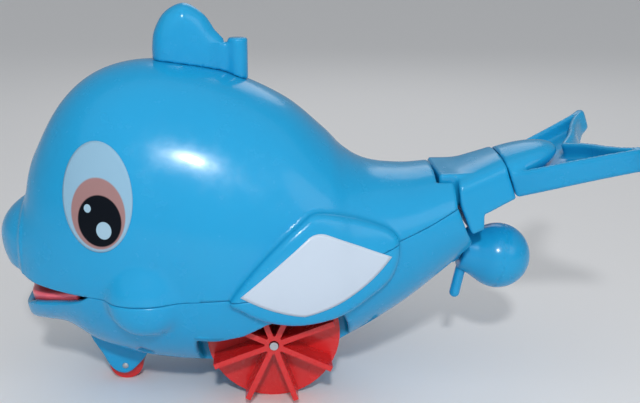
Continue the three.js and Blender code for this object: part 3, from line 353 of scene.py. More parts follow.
def new_object(name, points, faces, material):
    mesh = bpy.data.meshes.new(name)
    mesh.from_pydata(np.asarray(points).tolist(), [], [tuple(face) for face in faces])
    mesh.shade_smooth()
    mesh.materials.append(material)
    made = bpy.data.objects.new(name, mesh)
    bpy.context.scene.collection.objects.link(made)
    return made


def keep_side(made, edge, shift, upper):
    """Cuts a shell along an edge line in X and Z, and keeps the part above or below it."""
    work = bmesh.new()
    work.from_mesh(made.data)
    for vertex in work.verts:
        vertex.co.z -= np.interp(vertex.co.x, edge[:, 0], edge[:, 1]) + shift
    bmesh.ops.bisect_plane(
        work,
        geom=work.verts[:] + work.edges[:] + work.faces[:],
        plane_co=(0, 0, 0),
        plane_no=(0, 0, 1),
        clear_inner=upper,
        clear_outer=not upper,
    )
    for vertex in work.verts:
        vertex.co.z += np.interp(vertex.co.x, edge[:, 0], edge[:, 1]) + shift
    work.to_mesh(made.data)
    work.free()


def thicken(made, thickness):
    wall = made.modifiers.new("wall", "SOLIDIFY")
    wall.thickness = thickness
    wall.offset = -1


moulding = bpy.data.node_groups.new("Moulded surface", "ShaderNodeTree")
moulding.interface.new_socket("Grain", in_out="INPUT", socket_type="NodeSocketFloat")
moulding.interface.new_socket("Tone", in_out="OUTPUT", socket_type="NodeSocketFloat")
moulding.interface.new_socket("Gloss", in_out="OUTPUT", socket_type="NodeSocketFloat")
moulding.interface.new_socket("Normal", in_out="OUTPUT", socket_type="NodeSocketVector")
nodes, links = moulding.nodes, moulding.links
inputs, outputs = nodes.new("NodeGroupInput"), nodes.new("NodeGroupOutput")
place = nodes.new("ShaderNodeTexCoord")
broad = nodes.new("ShaderNodeTexNoise")
broad.inputs["Scale"].default_value = 22
broad.inputs["Detail"].default_value = 2
scuffs = nodes.new("ShaderNodeTexNoise")
scuffs.inputs["Scale"].default_value = 160
scuffs.inputs["Detail"].default_value = 4
peel = nodes.new("ShaderNodeTexNoise")
peel.inputs["Scale"].default_value = 420
peel.inputs["Detail"].default_value = 1
gloss = nodes.new("ShaderNodeMapRange")
gloss.inputs["From Min"].default_value = 0.45
gloss.inputs["From Max"].default_value = 0.75
gloss.inputs["To Min"].default_value = 0.0
gloss.inputs["To Max"].default_value = 0.12
bump = nodes.new("ShaderNodeBump")
bump.inputs["Distance"].default_value = 0.02 * MM
for texture in (broad, scuffs, peel):
    links.new(place.outputs["Object"], texture.inputs["Vector"])
links.new(scuffs.outputs["Fac"], gloss.inputs["Value"])
links.new(inputs.outputs["Grain"], bump.inputs["Strength"])
links.new(peel.outputs["Fac"], bump.inputs["Height"])
links.new(broad.outputs["Fac"], outputs.inputs["Tone"])
links.new(gloss.outputs["Result"], outputs.inputs["Gloss"])
links.new(bump.outputs["Normal"], outputs.inputs["Normal"])


def plastic(name, colour, roughness, grain=0.3, spread=0.06, coat=0.0, glow=0.0):
    """A moulded plastic: slightly uneven colour and gloss, with a fine orange peel."""
    material = bpy.data.materials.new(name)
    material.use_nodes = True
    tree = material.node_tree
    shader = tree.nodes["Principled BSDF"]
    skin = tree.nodes.new("ShaderNodeGroup")
    skin.node_tree = moulding
    skin.inputs["Grain"].default_value = grain
    tint = tree.nodes.new("ShaderNodeMix")
    tint.data_type = "RGBA"
    tint.inputs["A"].default_value = (*(c * (1 - spread) for c in colour), 1)
    tint.inputs["B"].default_value = (*(min(c * (1 + spread), 1) for c in colour), 1)
    rough = tree.nodes.new("ShaderNodeMath")
    rough.inputs[1].default_value = roughness
    tree.links.new(skin.outputs["Tone"], tint.inputs["Factor"])
    tree.links.new(tint.outputs["Result"], shader.inputs["Base Color"])
    tree.links.new(skin.outputs["Gloss"], rough.inputs[0])
    tree.links.new(rough.outputs["Value"], shader.inputs["Roughness"])
    tree.links.new(skin.outputs["Normal"], shader.inputs["Normal"])
    shader.inputs["Coat Weight"].default_value = coat
    shader.inputs["Coat Roughness"].default_value = 0.05
    shader.inputs["Subsurface Weight"].default_value = glow
    shader.inputs["Subsurface Radius"].default_value = (4 * MM, 2 * MM, 1 * MM)
    return material


blue = plastic("blue plastic", BLUE, roughness=0.2, coat=0.1)
blue.node_tree.nodes["Principled BSDF"].inputs["Specular IOR Level"].default_value = 0.32
seam_line = spline(SEAM, SEAM_STEPS)
upper_edge = np.vstack([LIP[:1], spline(LIP[1:], LIP_STEPS)[:-1], seam_line])
lower_edge = np.vstack([JAW[:1], spline(JAW[1:], LIP_STEPS)[:-1], seam_line])
upper_shell = new_object("upper_shell_look", *surface(upper_field, *UPPER_BOX, CELL), blue)
keep_side(upper_shell, upper_edge, 0, True)
lower_shell = new_object("lower_shell_look", *surface(lower_field, *LOWER_BOX, CELL), blue)
keep_side(lower_shell, lower_edge, -SEAM_GAP, False)
for made, node in ((upper_shell, "upper_shell"), (lower_shell, "lower_shell")):
    thicken(made, WALL)
    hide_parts(node)
    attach(made, "body")

# Dorsal fin
# A thick lobe with a thin web and a half-round post behind it, moulded in the same blue. A tab under it plugs
# into a slot in the top of the head.
FIN_CROWN = MM * np.array([(-58, 128), (-57, 134), (-53, 140.6), (-46, 143.7), (-39, 140), (-34.8, 134.4)])
FIN_FOOT = MM * np.array([(-31.5, 131.2), (-31.5, 108), (-58, 108)])
FIN_CORNER = 3.5 * MM
POST_X, POST_RADIUS, POST_TOP = -27 * MM, 3.6 * MM, 131.2 * MM
POST_EDGE, POST_FILLET = 1 * MM, 1.2 * MM
LOBE_AT, LOBE_HALF = MM * np.array((-58, -46, -33)), MM * np.array((6, 6, 3.4))
WEB_X, WEB_REACH, WEB_HALF = -31 * MM, 5 * MM, 2 * MM
WEB_DROP, WEB_FILLET = 2 * MM, 1.5 * MM
FIN_SEAT = 0.1 * MM
FIN_STEPS, FIN_CELL = 40, 0.8 * MM
FIN_BOX = MM * np.array([(-61, -8, 110), (-21, 8, 146)])
fin_outline = np.vstack([spline(FIN_CROWN, FIN_STEPS), FIN_FOOT])


def fin_field(x, y, z):
    half = np.interp(x, LOBE_AT, LOBE_HALF)
    lobe = soft_max(outline_distance(fin_outline, x, z), np.abs(y) - half, 2 * FIN_CORNER)
    web = np.maximum(np.abs(y) - WEB_HALF, z - POST_TOP + WEB_DROP)
    web = np.maximum(web, np.abs(x - WEB_X) - WEB_REACH)
    post = soft_max(np.hypot(x - POST_X, y) - POST_RADIUS, z - POST_TOP, POST_EDGE)
    made = soft_min(soft_min(lobe, web, WEB_FILLET), post, POST_FILLET)
    return np.maximum(made, FIN_SEAT - loft(x, y, z))


fin = new_object("dorsal_fin_look", *surface(fin_field, *FIN_BOX, FIN_CELL), blue)
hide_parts("dorsal_fin")
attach(fin, "body")

# Eyes
# Oval vinyl labels, printed with the whole eye and stuck on both sides of the head. They follow the skin
# below them.
EYE_CENTRE = MM * np.array((-74.5, 81.4))
EYE_HALF = MM * np.array((12.4, 18.6))
EYE_RINGS, EYE_SPOKES = 20, 72
EYE_LIFT, LABEL_THICK = 0.35 * MM, 0.4 * MM
SKIN_REACH, HALVINGS = 60 * MM, 34
EYE_WHITE = (0.26, 0.45, 0.60)
GLINT = (0.33, 0.50, 0.62)
IRIS = (0.33, 0.19, 0.19)
PUPIL = (0.004, 0.006, 0.010)

ellipse = bpy.data.node_groups.new("Printed oval", "ShaderNodeTree")
ellipse.interface.new_socket("Place", in_out="INPUT", socket_type="NodeSocketVector")
ellipse.interface.new_socket("Centre", in_out="INPUT", socket_type="NodeSocketVector")
ellipse.interface.new_socket("Half", in_out="INPUT", socket_type="NodeSocketVector")
ellipse.interface.new_socket("Mask", in_out="OUTPUT", socket_type="NodeSocketFloat")
nodes, links = ellipse.nodes, ellipse.links
inputs, outputs = nodes.new("NodeGroupInput"), nodes.new("NodeGroupOutput")
away, scaled, length = (nodes.new("ShaderNodeVectorMath") for _ in range(3))
away.operation, scaled.operation, length.operation = "SUBTRACT", "DIVIDE", "LENGTH"
edge = nodes.new("ShaderNodeMapRange")
edge.interpolation_type = "SMOOTHSTEP"
edge.inputs["From Min"].default_value = 1.03
edge.inputs["From Max"].default_value = 0.97
links.new(inputs.outputs["Place"], away.inputs[0])
links.new(inputs.outputs["Centre"], away.inputs[1])
links.new(away.outputs["Vector"], scaled.inputs[0])
links.new(inputs.outputs["Half"], scaled.inputs[1])
links.new(scaled.outputs["Vector"], length.inputs[0])
links.new(length.outputs["Value"], edge.inputs["Value"])
links.new(edge.outputs["Result"], outputs.inputs["Mask"])

eye_print = plastic("printed eye", EYE_WHITE, roughness=0.3, grain=0.1, spread=0.02)
tree = eye_print.node_tree
shader = tree.nodes["Principled BSDF"]
shader.inputs["Specular IOR Level"].default_value = 0.06
uv = tree.nodes.new("ShaderNodeUVMap")
uv.uv_map = "label"
colour = shader.inputs["Base Color"].links[0].from_socket
for name, centre, half, tint in (
    ("iris", (0.0225, -0.286), (0.77, 0.655), IRIS),
    ("pupil", (0.062, -0.414), (0.617, 0.476), PUPIL),
    ("small glint", (-0.27, -0.192), (0.101, 0.077), GLINT),
    ("large glint", (0.175, -0.582), (0.214, 0.163), GLINT),
):
    oval = tree.nodes.new("ShaderNodeGroup")
    oval.node_tree = ellipse
    oval.label = name
    oval.inputs["Centre"].default_value = (centre[0], centre[1], 0)
    oval.inputs["Half"].default_value = (half[0], half[1], 1)
    paint = tree.nodes.new("ShaderNodeMix")
    paint.data_type = "RGBA"
    paint.inputs["B"].default_value = (*tint, 1)
    tree.links.new(uv.outputs["UV"], oval.inputs["Place"])
    tree.links.new(oval.outputs["Mask"], paint.inputs["Factor"])
    tree.links.new(colour, paint.inputs["A"])
    colour = paint.outputs["Result"]
tree.links.new(colour, shader.inputs["Base Color"])


def on_skin(field, x, z, side, lift):
    """Points at this height above the skin, straight out to the side from X and Z."""
    low, high = np.zeros_like(x), np.full_like(x, SKIN_REACH)
    for _ in range(HALVINGS):
        middle = (low + high) / 2
        outside = field(x, side * middle, z) > lift
        low, high = np.where(outside, low, middle), np.where(outside, middle, high)
    return np.stack([x, side * high, z], axis=1)


def disc_faces(rings, spokes, side):
    """Faces of a disc: vertex 0 is its middle, then come its rings."""
    faces = []
    for k in range(spokes):
        following = (k + 1) % spokes
        faces.append((0, 1 + k, 1 + following))
        for r in range(rings - 1):
            a, b = 1 + r * spokes, 1 + (r + 1) * spokes
            faces.append((a + k, b + k, b + following, a + following))
    return faces if side < 0 else [face[::-1] for face in faces]


angles = np.linspace(0, 2 * np.pi, EYE_SPOKES, endpoint=False)
shares = np.concatenate([[0], np.repeat(np.arange(1, EYE_RINGS + 1) / EYE_RINGS, EYE_SPOKES)])
turns = np.concatenate([[0], np.tile(angles, EYE_RINGS)])
flat = np.stack([shares * np.cos(turns), shares * np.sin(turns)], axis=1)
for word, side in (("left", -1), ("right", 1)):
    x, z = (EYE_CENTRE + EYE_HALF * flat).T
    points = on_skin(head, x, z, side, EYE_LIFT)
    eye = new_object(f"eye_{word}_look", points, disc_faces(EYE_RINGS, EYE_SPOKES, side), eye_print)
    layer = eye.data.uv_layers.new(name="label")
    corner = np.empty(len(eye.data.loops), dtype=np.int32)
    eye.data.loops.foreach_get("vertex_index", corner)
    layer.data.foreach_set("uv", flat[corner].astype(np.float32).ravel())
    thicken(eye, LABEL_THICK)
    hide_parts(f"eye_{word}")
    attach(eye, "body")

# Flipper panels
# White ABS leaves, moulded apart and pressed into the flippers, nearly flush with the rim round them.
PANEL_FRONT = MM * np.array((-26.5, 48))
PANEL_TOP = MM * np.array([(-3, 67.9), (0, 70), (4, 68.2)])
PANEL_BACK = MM * np.array((26.3, 58.6))
PANEL_LOW = MM * np.array([(14.1, 42.9), (-4.5, 39.6), (-16, 41.5)])
PANEL_THICK, PANEL_PROUD = 1.2 * MM, 0.15 * MM
PANEL_RINGS = 14
WHITE = (0.52, 0.61, 0.72)


def bend(a, control, b, steps):
    """Points of a curve from a towards b, drawn to a control point. The last one is left out."""
    t = np.linspace(0, 1, steps, endpoint=False)[:, None]
    return (1 - t) ** 2 * a + 2 * t * (1 - t) * control + t**2 * b


panel_outline = np.vstack(
    [
        bend(PANEL_FRONT, (PANEL_FRONT + PANEL_TOP[0]) / 2, PANEL_TOP[0], 20),
        bend(PANEL_TOP[0], PANEL_TOP[1], PANEL_TOP[2], 8),
        bend(PANEL_TOP[2], (PANEL_TOP[2] + PANEL_BACK) / 2, PANEL_BACK, 14),
        bend(PANEL_BACK, PANEL_LOW[0], PANEL_LOW[1], 22),
        bend(PANEL_LOW[1], PANEL_LOW[2], PANEL_FRONT, 14),
    ]
)
panel_middle = panel_outline.mean(axis=0)
growth = np.arange(1, PANEL_RINGS + 1)[:, None, None] / PANEL_RINGS
panel_rings = panel_middle + growth * (panel_outline - panel_middle)
panel_flat = np.vstack([panel_middle, panel_rings.reshape(-1, 2)])
panel_spokes = len(panel_outline)
white = plastic("white plastic", WHITE, roughness=0.28, grain=0.15, spread=0.02, coat=0.15)
for word, side in (("left", -1), ("right", 1)):
    x, z = panel_flat.T
    points = on_skin(cheeked, x, z, side, FLIPPER_RISE + PANEL_PROUD)
    faces = disc_faces(PANEL_RINGS, panel_spokes, -side)
    panel = new_object(f"flipper_panel_{word}_look", points, faces, white)
    thicken(panel, PANEL_THICK)
    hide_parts(f"flipper_panel_{word}")
    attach(panel, "body")

# Tongue and mouth lining
# Soft pink and dark red vinyl mouldings, clamped between the shells, which close the mouth behind the lips.
# Only their front edges show.
TONGUE_RISE = MM * np.array((-2.4, 3))
LINING_RISE = MM * np.array((3.5, 12.2))
MOUTH_BACK = -84 * MM
TONGUE_INSET, TONGUE_EDGE = 2.6 * MM, 1.2 * MM
LINING_INSET = 6 * MM
MOUTH_BOX = MM * np.array([(-110, -34, 32), (-82, 34, 58)])
MOUTH_CELL = 1 * MM
PINK = (0.92, 0.14, 0.19)
DARK_RED = (0.16, 0.02, 0.018)


def over_jaw(x, z, rise):
    """Distance to the layer between two heights above the jaw's edge."""
    return np.abs(z - np.interp(x, JAW[:, 0], JAW[:, 1]) - rise.mean()) - np.ptp(rise) / 2


def tongue_field(x, y, z):
    rounded = soft_max(loft(x, y, z) + TONGUE_INSET, over_jaw(x, z, TONGUE_RISE), TONGUE_EDGE)
    return np.maximum(rounded, x - MOUTH_BACK)


def lining_field(x, y, z):
    layer = np.maximum(loft(x, y, z) + LINING_INSET, over_jaw(x, z, LINING_RISE))
    return np.maximum(layer, x - MOUTH_BACK)


pink = plastic("pink plastic", PINK, roughness=0.3, coat=0.3, glow=0.22)
dark_red = plastic("dark red plastic", DARK_RED, roughness=0.4)
for node, field, material, slot in (
    ("tongue", tongue_field, pink, "pink_plastic"),
    ("mouth_lining", lining_field, dark_red, "dark_red_plastic"),
):
    made = new_object(f"{node}_look", *surface(field, *MOUTH_BOX, MOUTH_CELL), material)
    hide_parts(node)
    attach(made, "body")

# Paddle wheels, front wheel, axle and pins
# Red ABS wheels, each moulded with eight blades on a running disc, are pressed on a plated steel axle. The
# small front wheel turns on a steel pin in its fork, and a longer pin holds the tail.
RED = (0.62, 0.014, 0.016)
WHEEL_EDGE, STEEL_EDGE = 0.35 * MM, 0.2 * MM
SHARP = math.radians(40)
STEEL_DARK, STEEL_LIGHT = (0.40, 0.42, 0.44), (0.62, 0.64, 0.66)
PIN_RADIUS, PIN_CHAMFER, PIN_SIDES = 1.2 * MM, 0.25 * MM, 32
FRONT_PIN_HALF, TAIL_PIN_HALF = 7.5 * MM, 19.4 * MM
TAIL_PIN = MM * np.array((48.2, 77.3))


def finish_node(node, material, width):
    """Gives a CAD node its material and slot, and bevels its sharp edges."""
    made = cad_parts[node]
    made.data.materials.clear()
    made.data.materials.append(material)
    soften = made.modifiers.new("edges", "BEVEL")
    soften.width = width
    soften.segments = 2
    soften.limit_method = "ANGLE"
    soften.angle_limit = SHARP
    soften.harden_normals = True


red = plastic("red plastic", RED, roughness=0.24, coat=0.2, glow=0.05)
for node in ("paddle_wheel_left", "paddle_wheel_right", "front_wheel"):
    finish_node(node, red, WHEEL_EDGE)

brushing = bpy.data.node_groups.new("Drawn metal", "ShaderNodeTree")
brushing.interface.new_socket("Tone", in_out="OUTPUT", socket_type="NodeSocketFloat")
brushing.interface.new_socket("Roughness", in_out="OUTPUT", socket_type="NodeSocketFloat")
nodes, links = brushing.nodes, brushing.links
outputs = nodes.new("NodeGroupOutput")
place, streaks = nodes.new("ShaderNodeTexCoord"), nodes.new("ShaderNodeTexNoise")
stretch = nodes.new("ShaderNodeMapping")
stretch.inputs["Scale"].default_value = (900, 60, 900)
streaks.inputs["Scale"].default_value = 1
streaks.inputs["Detail"].default_value = 3
dull = nodes.new("ShaderNodeMapRange")
dull.inputs["To Min"].default_value = 0.22
dull.inputs["To Max"].default_value = 0.42
links.new(place.outputs["Object"], stretch.inputs["Vector"])
links.new(stretch.outputs["Vector"], streaks.inputs["Vector"])
links.new(streaks.outputs["Fac"], dull.inputs["Value"])
links.new(streaks.outputs["Fac"], outputs.inputs["Tone"])
links.new(dull.outputs["Result"], outputs.inputs["Roughness"])

steel = bpy.data.materials.new("plated steel")
steel.use_nodes = True
tree = steel.node_tree
shader = tree.nodes["Principled BSDF"]
grain = tree.nodes.new("ShaderNodeGroup")
grain.node_tree = brushing
tint = tree.nodes.new("ShaderNodeMix")
tint.data_type = "RGBA"
tint.inputs["A"].default_value = (*STEEL_DARK, 1)
tint.inputs["B"].default_value = (*STEEL_LIGHT, 1)
shader.inputs["Metallic"].default_value = 1
tree.links.new(grain.outputs["Tone"], tint.inputs["Factor"])
tree.links.new(tint.outputs["Result"], shader.inputs["Base Color"])
tree.links.new(grain.outputs["Roughness"], shader.inputs["Roughness"])
steel_nodes = ["drive_axle", "idler_shaft", "drum_shaft"]
steel_nodes += [f"{kind}_screw_{k}" for kind in ("shell", "frame") for k in (1, 2, 3, 4)]
for node in steel_nodes:
    finish_node(node, steel, STEEL_EDGE)


def turned_pin(x, z, half_length):
    """A pin along Y with chamfered ends: four rings from end to end, and a face on each end."""
    around = np.linspace(0, 2 * np.pi, PIN_SIDES, endpoint=False)
    ends = [(PIN_RADIUS - PIN_CHAMFER, half_length), (PIN_RADIUS, half_length - PIN_CHAMFER)]
    rings = []
    for radius, y in [(r, -along) for r, along in ends] + ends[::-1]:
        level = np.full(PIN_SIDES, y)
        rings.append(np.stack([x + radius * np.cos(around), level, z + radius * np.sin(around)], axis=1))
    faces = [tuple(range(PIN_SIDES)), tuple(range(4 * PIN_SIDES - 1, 3 * PIN_SIDES - 1, -1))]
    for k in range(len(rings) - 1):
        for i in range(PIN_SIDES):
            a, b = k * PIN_SIDES + i, k * PIN_SIDES + (i + 1) % PIN_SIDES
            faces.append((a, a + PIN_SIDES, b + PIN_SIDES, b))
    return np.vstack(rings), faces


for node, (x, z), half_length in (
    ("front_axle", FRONT_AXLE, FRONT_PIN_HALF),
    ("tail_pin", TAIL_PIN, TAIL_PIN_HALF),
):
    pin = new_object(f"{node}_look", *turned_pin(x, z, half_length), steel)
    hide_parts(node)
    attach(pin, "body")

# Tail
# Both pieces are moulded in the blue of the body. The stock hangs on a pin between the body's ears, and the
# fluke, a swept plate with a sunken top, is pushed into the end of the stock by a tab.
STOCK = MM * np.array(
    [
        (52.3, 82.7), (53.1, 72), (57.1, 62.4), (57.9, 61),
        (62.5, 62.6), (62.5, 68), (74.7, 73.2), (69.4, 88.6),
    ]
)
STOCK_END = MM * np.array((69.4, 88.6))
STOCK_AT, STOCK_HALF = MM * np.array((-19.7, 0)), MM * np.array((20.5, 15.5))
STOCK_CROWN, STOCK_EDGE = 5.5 * MM, 1 * MM
ROOT_LOW, ROOT_HIGH = MM * np.array((46, 71)), MM * np.array((60, 82.6))
ROOT_HALF, ROOT_EDGE, ROOT_FILLET = 15.1 * MM, 0.8 * MM, 1 * MM
PITCH = math.radians(19)
# Half the fluke's outline, along the tail's slope and to the side
FLUKE = MM * np.array(
    [
        (0.3, 15.5), (10.1, 20.8), (24.3, 28), (38.1, 36), (42.6, 40), (44.8, 38.8),
        (44.4, 35.2), (40.4, 29.6), (36.4, 20.8), (32.4, 9.6), (27, 0),
    ]
)
FLUKE_ROOT, FLUKE_SPAN = 15.5 * MM, 40 * MM
FLUKE_SINK, FLUKE_THICK, FLUKE_TIP_THICK = 6.5 * MM, 9.6 * MM, 8 * MM
FLUKE_RIM, FLUKE_POCKET = 2.6 * MM, 5.6 * MM
FLUKE_EDGE, FLUKE_START = 1.6 * MM, 0.3 * MM
FLUKE_STEPS = 40
POCKET_CORNER, POCKET_EDGE = 2 * MM, 1 * MM
CREST_SIZE = MM * np.array((22, 15.5, 6.5))
CREST_FILLET = 2 * MM
TAIL_CELL = 1 * MM


def tail_local(x, z):
    """Along and square to the tail's own slope, from the top of the stock's end."""
    dx, dz = x - STOCK_END[0], z - STOCK_END[1]
    return dx * math.cos(PITCH) + dz * math.sin(PITCH), dz * math.cos(PITCH) - dx * math.sin(PITCH)


def stock_field(x, y, z):
    u, w = tail_local(x, z)
    half = np.interp(u, STOCK_AT, STOCK_HALF)
    share = np.clip(np.abs(y) / half, 0, 1)
    crown = w + STOCK_CROWN * (1 - np.sqrt(1 - share)) ** 2
    bar = soft_max(outline_distance(STOCK, x, z), np.abs(y) - half, STOCK_EDGE)
    bar = soft_max(bar, crown, STOCK_EDGE)
    long, high = (ROOT_HIGH - ROOT_LOW) / 2
    root = np.maximum(np.abs(x - ROOT_LOW[0] - long) - long, np.abs(z - ROOT_LOW[1] - high) - high)
    return soft_min(bar, soft_max(root, np.abs(y) - ROOT_HALF, ROOT_EDGE), ROOT_FILLET)


fluke_half = spline(FLUKE, FLUKE_STEPS)
fluke_outline = np.vstack([fluke_half, (fluke_half * (1, -1))[-2::-1]])


def fluke_field(x, y, z):
    u, w = tail_local(x, z)
    share = np.clip((np.abs(y) - FLUKE_ROOT) / (FLUKE_SPAN - FLUKE_ROOT), 0, 1)
    thick = FLUKE_THICK + (FLUKE_TIP_THICK - FLUKE_THICK) * share
    edge = outline_distance(fluke_outline, u, y)
    top = w + FLUKE_SINK
    plate = soft_max(edge, np.maximum(top, -thick - top), FLUKE_EDGE)
    pocket = soft_max(edge + FLUKE_RIM, -top - FLUKE_POCKET * thick / FLUKE_THICK, POCKET_CORNER)
    crest = ellipsoid(u, y, w, (0, 0, -FLUKE_SINK), CREST_SIZE, CREST_SIZE[2])
    sunken = soft_max(plate, -pocket, POCKET_EDGE)
    return np.maximum(soft_min(sunken, crest, CREST_FILLET), FLUKE_START - u)


for node, field, low, high in (
    ("tail_stock", stock_field, (44, -23, 58), (77, 23, 91)),
    ("tail_fluke", fluke_field, (66, -43, 70), (119, 43, 101)),
):
    skin = surface(field, MM * np.array(low), MM * np.array(high), TAIL_CELL)
    made = new_object(f"{node}_look", *skin, blue)
    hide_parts(node)
    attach(made, "tail")

# Pull handle
# A ball on a short cone that docks on the body, moulded in blue ABS with a seam round its middle. A round bar
# through the cone ties the cord.
BALL_RADIUS, BALL_AT = 12.6 * MM, 15.1 * MM
CONE_AT, CONE_RADIUS = MM * np.array((0.3, 7.7)), MM * np.array((7.6, 10.2))
KNOB_FILLET, KNOB_EDGE = 1 * MM, 0.8 * MM
GROOVE_HALF, GROOVE_DEEP = 0.25 * MM, 0.35 * MM
BAR_RADIUS, BAR_BELOW, BAR_ABOVE, BAR_AT = 2 * MM, 20 * MM, 9.5 * MM, 2.4 * MM
HANDLE_CELL = 0.7 * MM


def knob_field(x, y, z):
    along, across = on_pull(x, y, z)
    from_middle = np.hypot(across, along - BALL_AT)
    cone = np.maximum(across - np.interp(along, CONE_AT, CONE_RADIUS), along - BALL_AT)
    knob = soft_min(from_middle - BALL_RADIUS, cone, KNOB_FILLET)
    knob = soft_max(knob, CONE_AT[0] - along, KNOB_EDGE)
    groove = np.maximum(np.abs(along - BALL_AT) - GROOVE_HALF, BALL_RADIUS - GROOVE_DEEP - from_middle)
    return np.maximum(knob, -groove)


def bar_field(x, y, z):
    along = (x - DOCK[0]) * PULL[0] + (z - DOCK[2]) * PULL[2] - BAR_AT
    up = (z - DOCK[2]) * PULL[0] - (x - DOCK[0]) * PULL[2]
    past_end = up - np.clip(up, BAR_RADIUS - BAR_BELOW, BAR_ABOVE - BAR_RADIUS)
    return np.sqrt(along**2 + y**2 + past_end**2) - BAR_RADIUS


for node, field, low, high in (
    ("pull_knob", knob_field, (53, -15, 32), (88, 15, 62)),
    ("knob_crossbar", bar_field, (51, -4, 27), (66, 4, 62)),
):
    skin = surface(field, MM * np.array(low), MM * np.array(high), HANDLE_CELL)
    made = new_object(f"{node}_look", *skin, blue)
    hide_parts(node)
    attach(made, "handle")

# Pull cord
# Off-white nylon cord, laid from three strands. It runs straight from the drum through the eyelet to the neck
# of the handle, where the bar ties it.
CORD_RADIUS, CORD_LONG, CORD_INTO_KNOB = 0.8 * MM, 86 * MM, 0.6 * MM
CORD_SIDES, CORD_STATIONS = 12, 90
STRANDS, STRAND_DEPTH = 3, 0.08
OFF_WHITE = (0.66, 0.62, 0.52)
WINDING_EDGE = 0.1 * MM
cord_white = plastic("nylon cord", OFF_WHITE, roughness=0.7, grain=1.0, spread=0.1)
turns = np.linspace(0, 2 * np.pi, CORD_SIDES, endpoint=False)
upright, sideways = np.array((-PULL[2], 0, PULL[0])), np.array((0, 1, 0))
points = []
for s in np.linspace(-CORD_LONG, CORD_INTO_KNOB, CORD_STATIONS):
    for turn in turns:
        radius = CORD_RADIUS * (1 + STRAND_DEPTH * math.cos(STRANDS * turn + s / CORD_RADIUS))
        outward = math.cos(turn) * upright + math.sin(turn) * sideways
        points.append(DOCK + s * PULL + radius * outward)
faces = []
for ring in range(CORD_STATIONS - 1):
    first = ring * CORD_SIDES
    for k in range(CORD_SIDES):
        a, b = first + k, first + (k + 1) % CORD_SIDES
        faces.append((a, b, b + CORD_SIDES, a + CORD_SIDES))
faces.append(tuple(range(CORD_SIDES)))
faces.append(tuple(reversed(range(len(points) - CORD_SIDES, len(points)))))
cord = new_object("pull_cord_look", points, faces, cord_white)
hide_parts("pull_cord")
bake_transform(cord)
finish_node("cord_winding", cord_white, WINDING_EDGE)

# Spring motor and gear train
# Moulded acetal gears and drum turn on steel shafts between two frame plates, which are screwed in between
# the wheel wells. A flat steel spring lies beside the drum, and rubber bushes seal the axle.
CREAM, GREY, BLACK = (0.72, 0.66, 0.50), (0.40, 0.42, 0.45), (0.02, 0.02, 0.022)
GEAR_EDGE, FRAME_EDGE, SEAL_EDGE, SPRING_EDGE = 0.12 * MM, 0.2 * MM, 0.15 * MM, 0.05 * MM
cream = plastic("natural acetal", CREAM, roughness=0.42, grain=0.5)
grey = plastic("grey acetal", GREY, roughness=0.45, grain=0.6)
rubber = plastic("black rubber", BLACK, roughness=0.65, grain=0.8)
for node in ("axle_pinion", "idler_gear", "drum_gear", "cord_drum"):
    finish_node(node, cream, GEAR_EDGE)
for node in ("gear_frame_left", "gear_frame_right", "ratchet_pawl", "tail_push_rod"):
    finish_node(node, grey, FRAME_EDGE)
for node in ("axle_seal_left", "axle_seal_right"):
    finish_node(node, rubber, SEAL_EDGE)
finish_node("mainspring", steel, SPRING_EDGE)
finish_node("cord_eyelet", blue, FRAME_EDGE)

# Floor, light and camera
# A pale matt floor under three round lamps and an even sky, seen from the photograph's place: the left side,
# a little from above.
CAMERA_BACK, CAMERA_HEIGHT, CAMERA_SIDE = 373 * MM, 169 * MM, 3 * MM
CAMERA_YAW, CAMERA_PITCH = math.radians(3), math.radians(15)
FOCAL_PIXELS, IMAGE_WIDTH, SENSOR = 1015, 640, 36
FLOOR = 3.0
FLOOR_COLOUR, FLOOR_ROUGHNESS = (0.84, 0.84, 0.85), 0.6
SKY_ANGLE, SKY_TILT, SKY_POWER = math.radians(120), math.radians(40), 0.85
WORLD_COLOUR, WORLD_POWER = (0.80, 0.84, 0.88), 0.31
scene = bpy.context.scene
scene.view_settings.view_transform = "Standard"
floor_mesh = bpy.data.meshes.new("floor")
floor_corners = [(-FLOOR, -FLOOR, 0), (FLOOR, -FLOOR, 0), (FLOOR, FLOOR, 0), (-FLOOR, FLOOR, 0)]
floor_mesh.from_pydata(floor_corners, [], [(0, 1, 2, 3)])
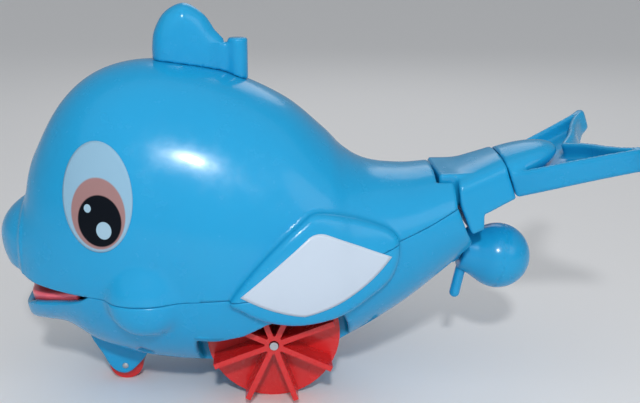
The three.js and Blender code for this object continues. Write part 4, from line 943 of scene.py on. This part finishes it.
floor = bpy.data.objects.new("floor", floor_mesh)
scene.collection.objects.link(floor)
paper = bpy.data.materials.new("pale floor")
paper.use_nodes = True
shader = paper.node_tree.nodes["Principled BSDF"]
shader.inputs["Base Color"].default_value = (*FLOOR_COLOUR, 1)
shader.inputs["Roughness"].default_value = FLOOR_ROUGHNESS
floor_mesh.materials.append(paper)
floor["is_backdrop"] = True
for name, place, aim, size, power in (
    ("key", (-0.02, -0.62, 0.47), (-0.03, 0, 0.08), 0.06, 2.5),
    ("fill", (0.6, -0.6, 0.5), (0, 0, 0.06), 0.5, 0.8),
    ("rim", (0.1, 0.7, 0.6), (0, 0, 0.08), 0.5, 0.8),
):
    lamp = bpy.data.lights.new(name, "AREA")
    lamp.shape = "DISK"
    lamp.size = size
    lamp.energy = power
    made = bpy.data.objects.new(name, lamp)
    made.location = place
    made.rotation_euler = (Vector(aim) - Vector(place)).to_track_quat("-Z", "Y").to_euler()
    scene.collection.objects.link(made)
sky = bpy.data.lights.new("sky", "SUN")
sky.angle = SKY_ANGLE
sky.energy = SKY_POWER
overhead = bpy.data.objects.new("sky", sky)
overhead.rotation_euler = (SKY_TILT, 0, 0)
scene.collection.objects.link(overhead)
world = bpy.data.worlds.new("studio")
world.use_nodes = True
backdrop = world.node_tree.nodes["Background"]
backdrop.inputs["Color"].default_value = (*WORLD_COLOUR, 1)
backdrop.inputs["Strength"].default_value = WORLD_POWER
scene.world = world
camera = bpy.data.cameras.new("camera")
camera.sensor_width = SENSOR
camera.lens = SENSOR * FOCAL_PIXELS / IMAGE_WIDTH
camera.clip_start = 0.01
viewer = bpy.data.objects.new("camera", camera)
viewer.location = (
    CAMERA_SIDE - CAMERA_BACK * math.sin(CAMERA_YAW),
    -CAMERA_BACK * math.cos(CAMERA_YAW),
    CAMERA_HEIGHT,
)
viewer.rotation_euler = (math.pi / 2 - CAMERA_PITCH, 0, -CAMERA_YAW)
scene.collection.objects.link(viewer)
scene.camera = viewer

low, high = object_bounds()
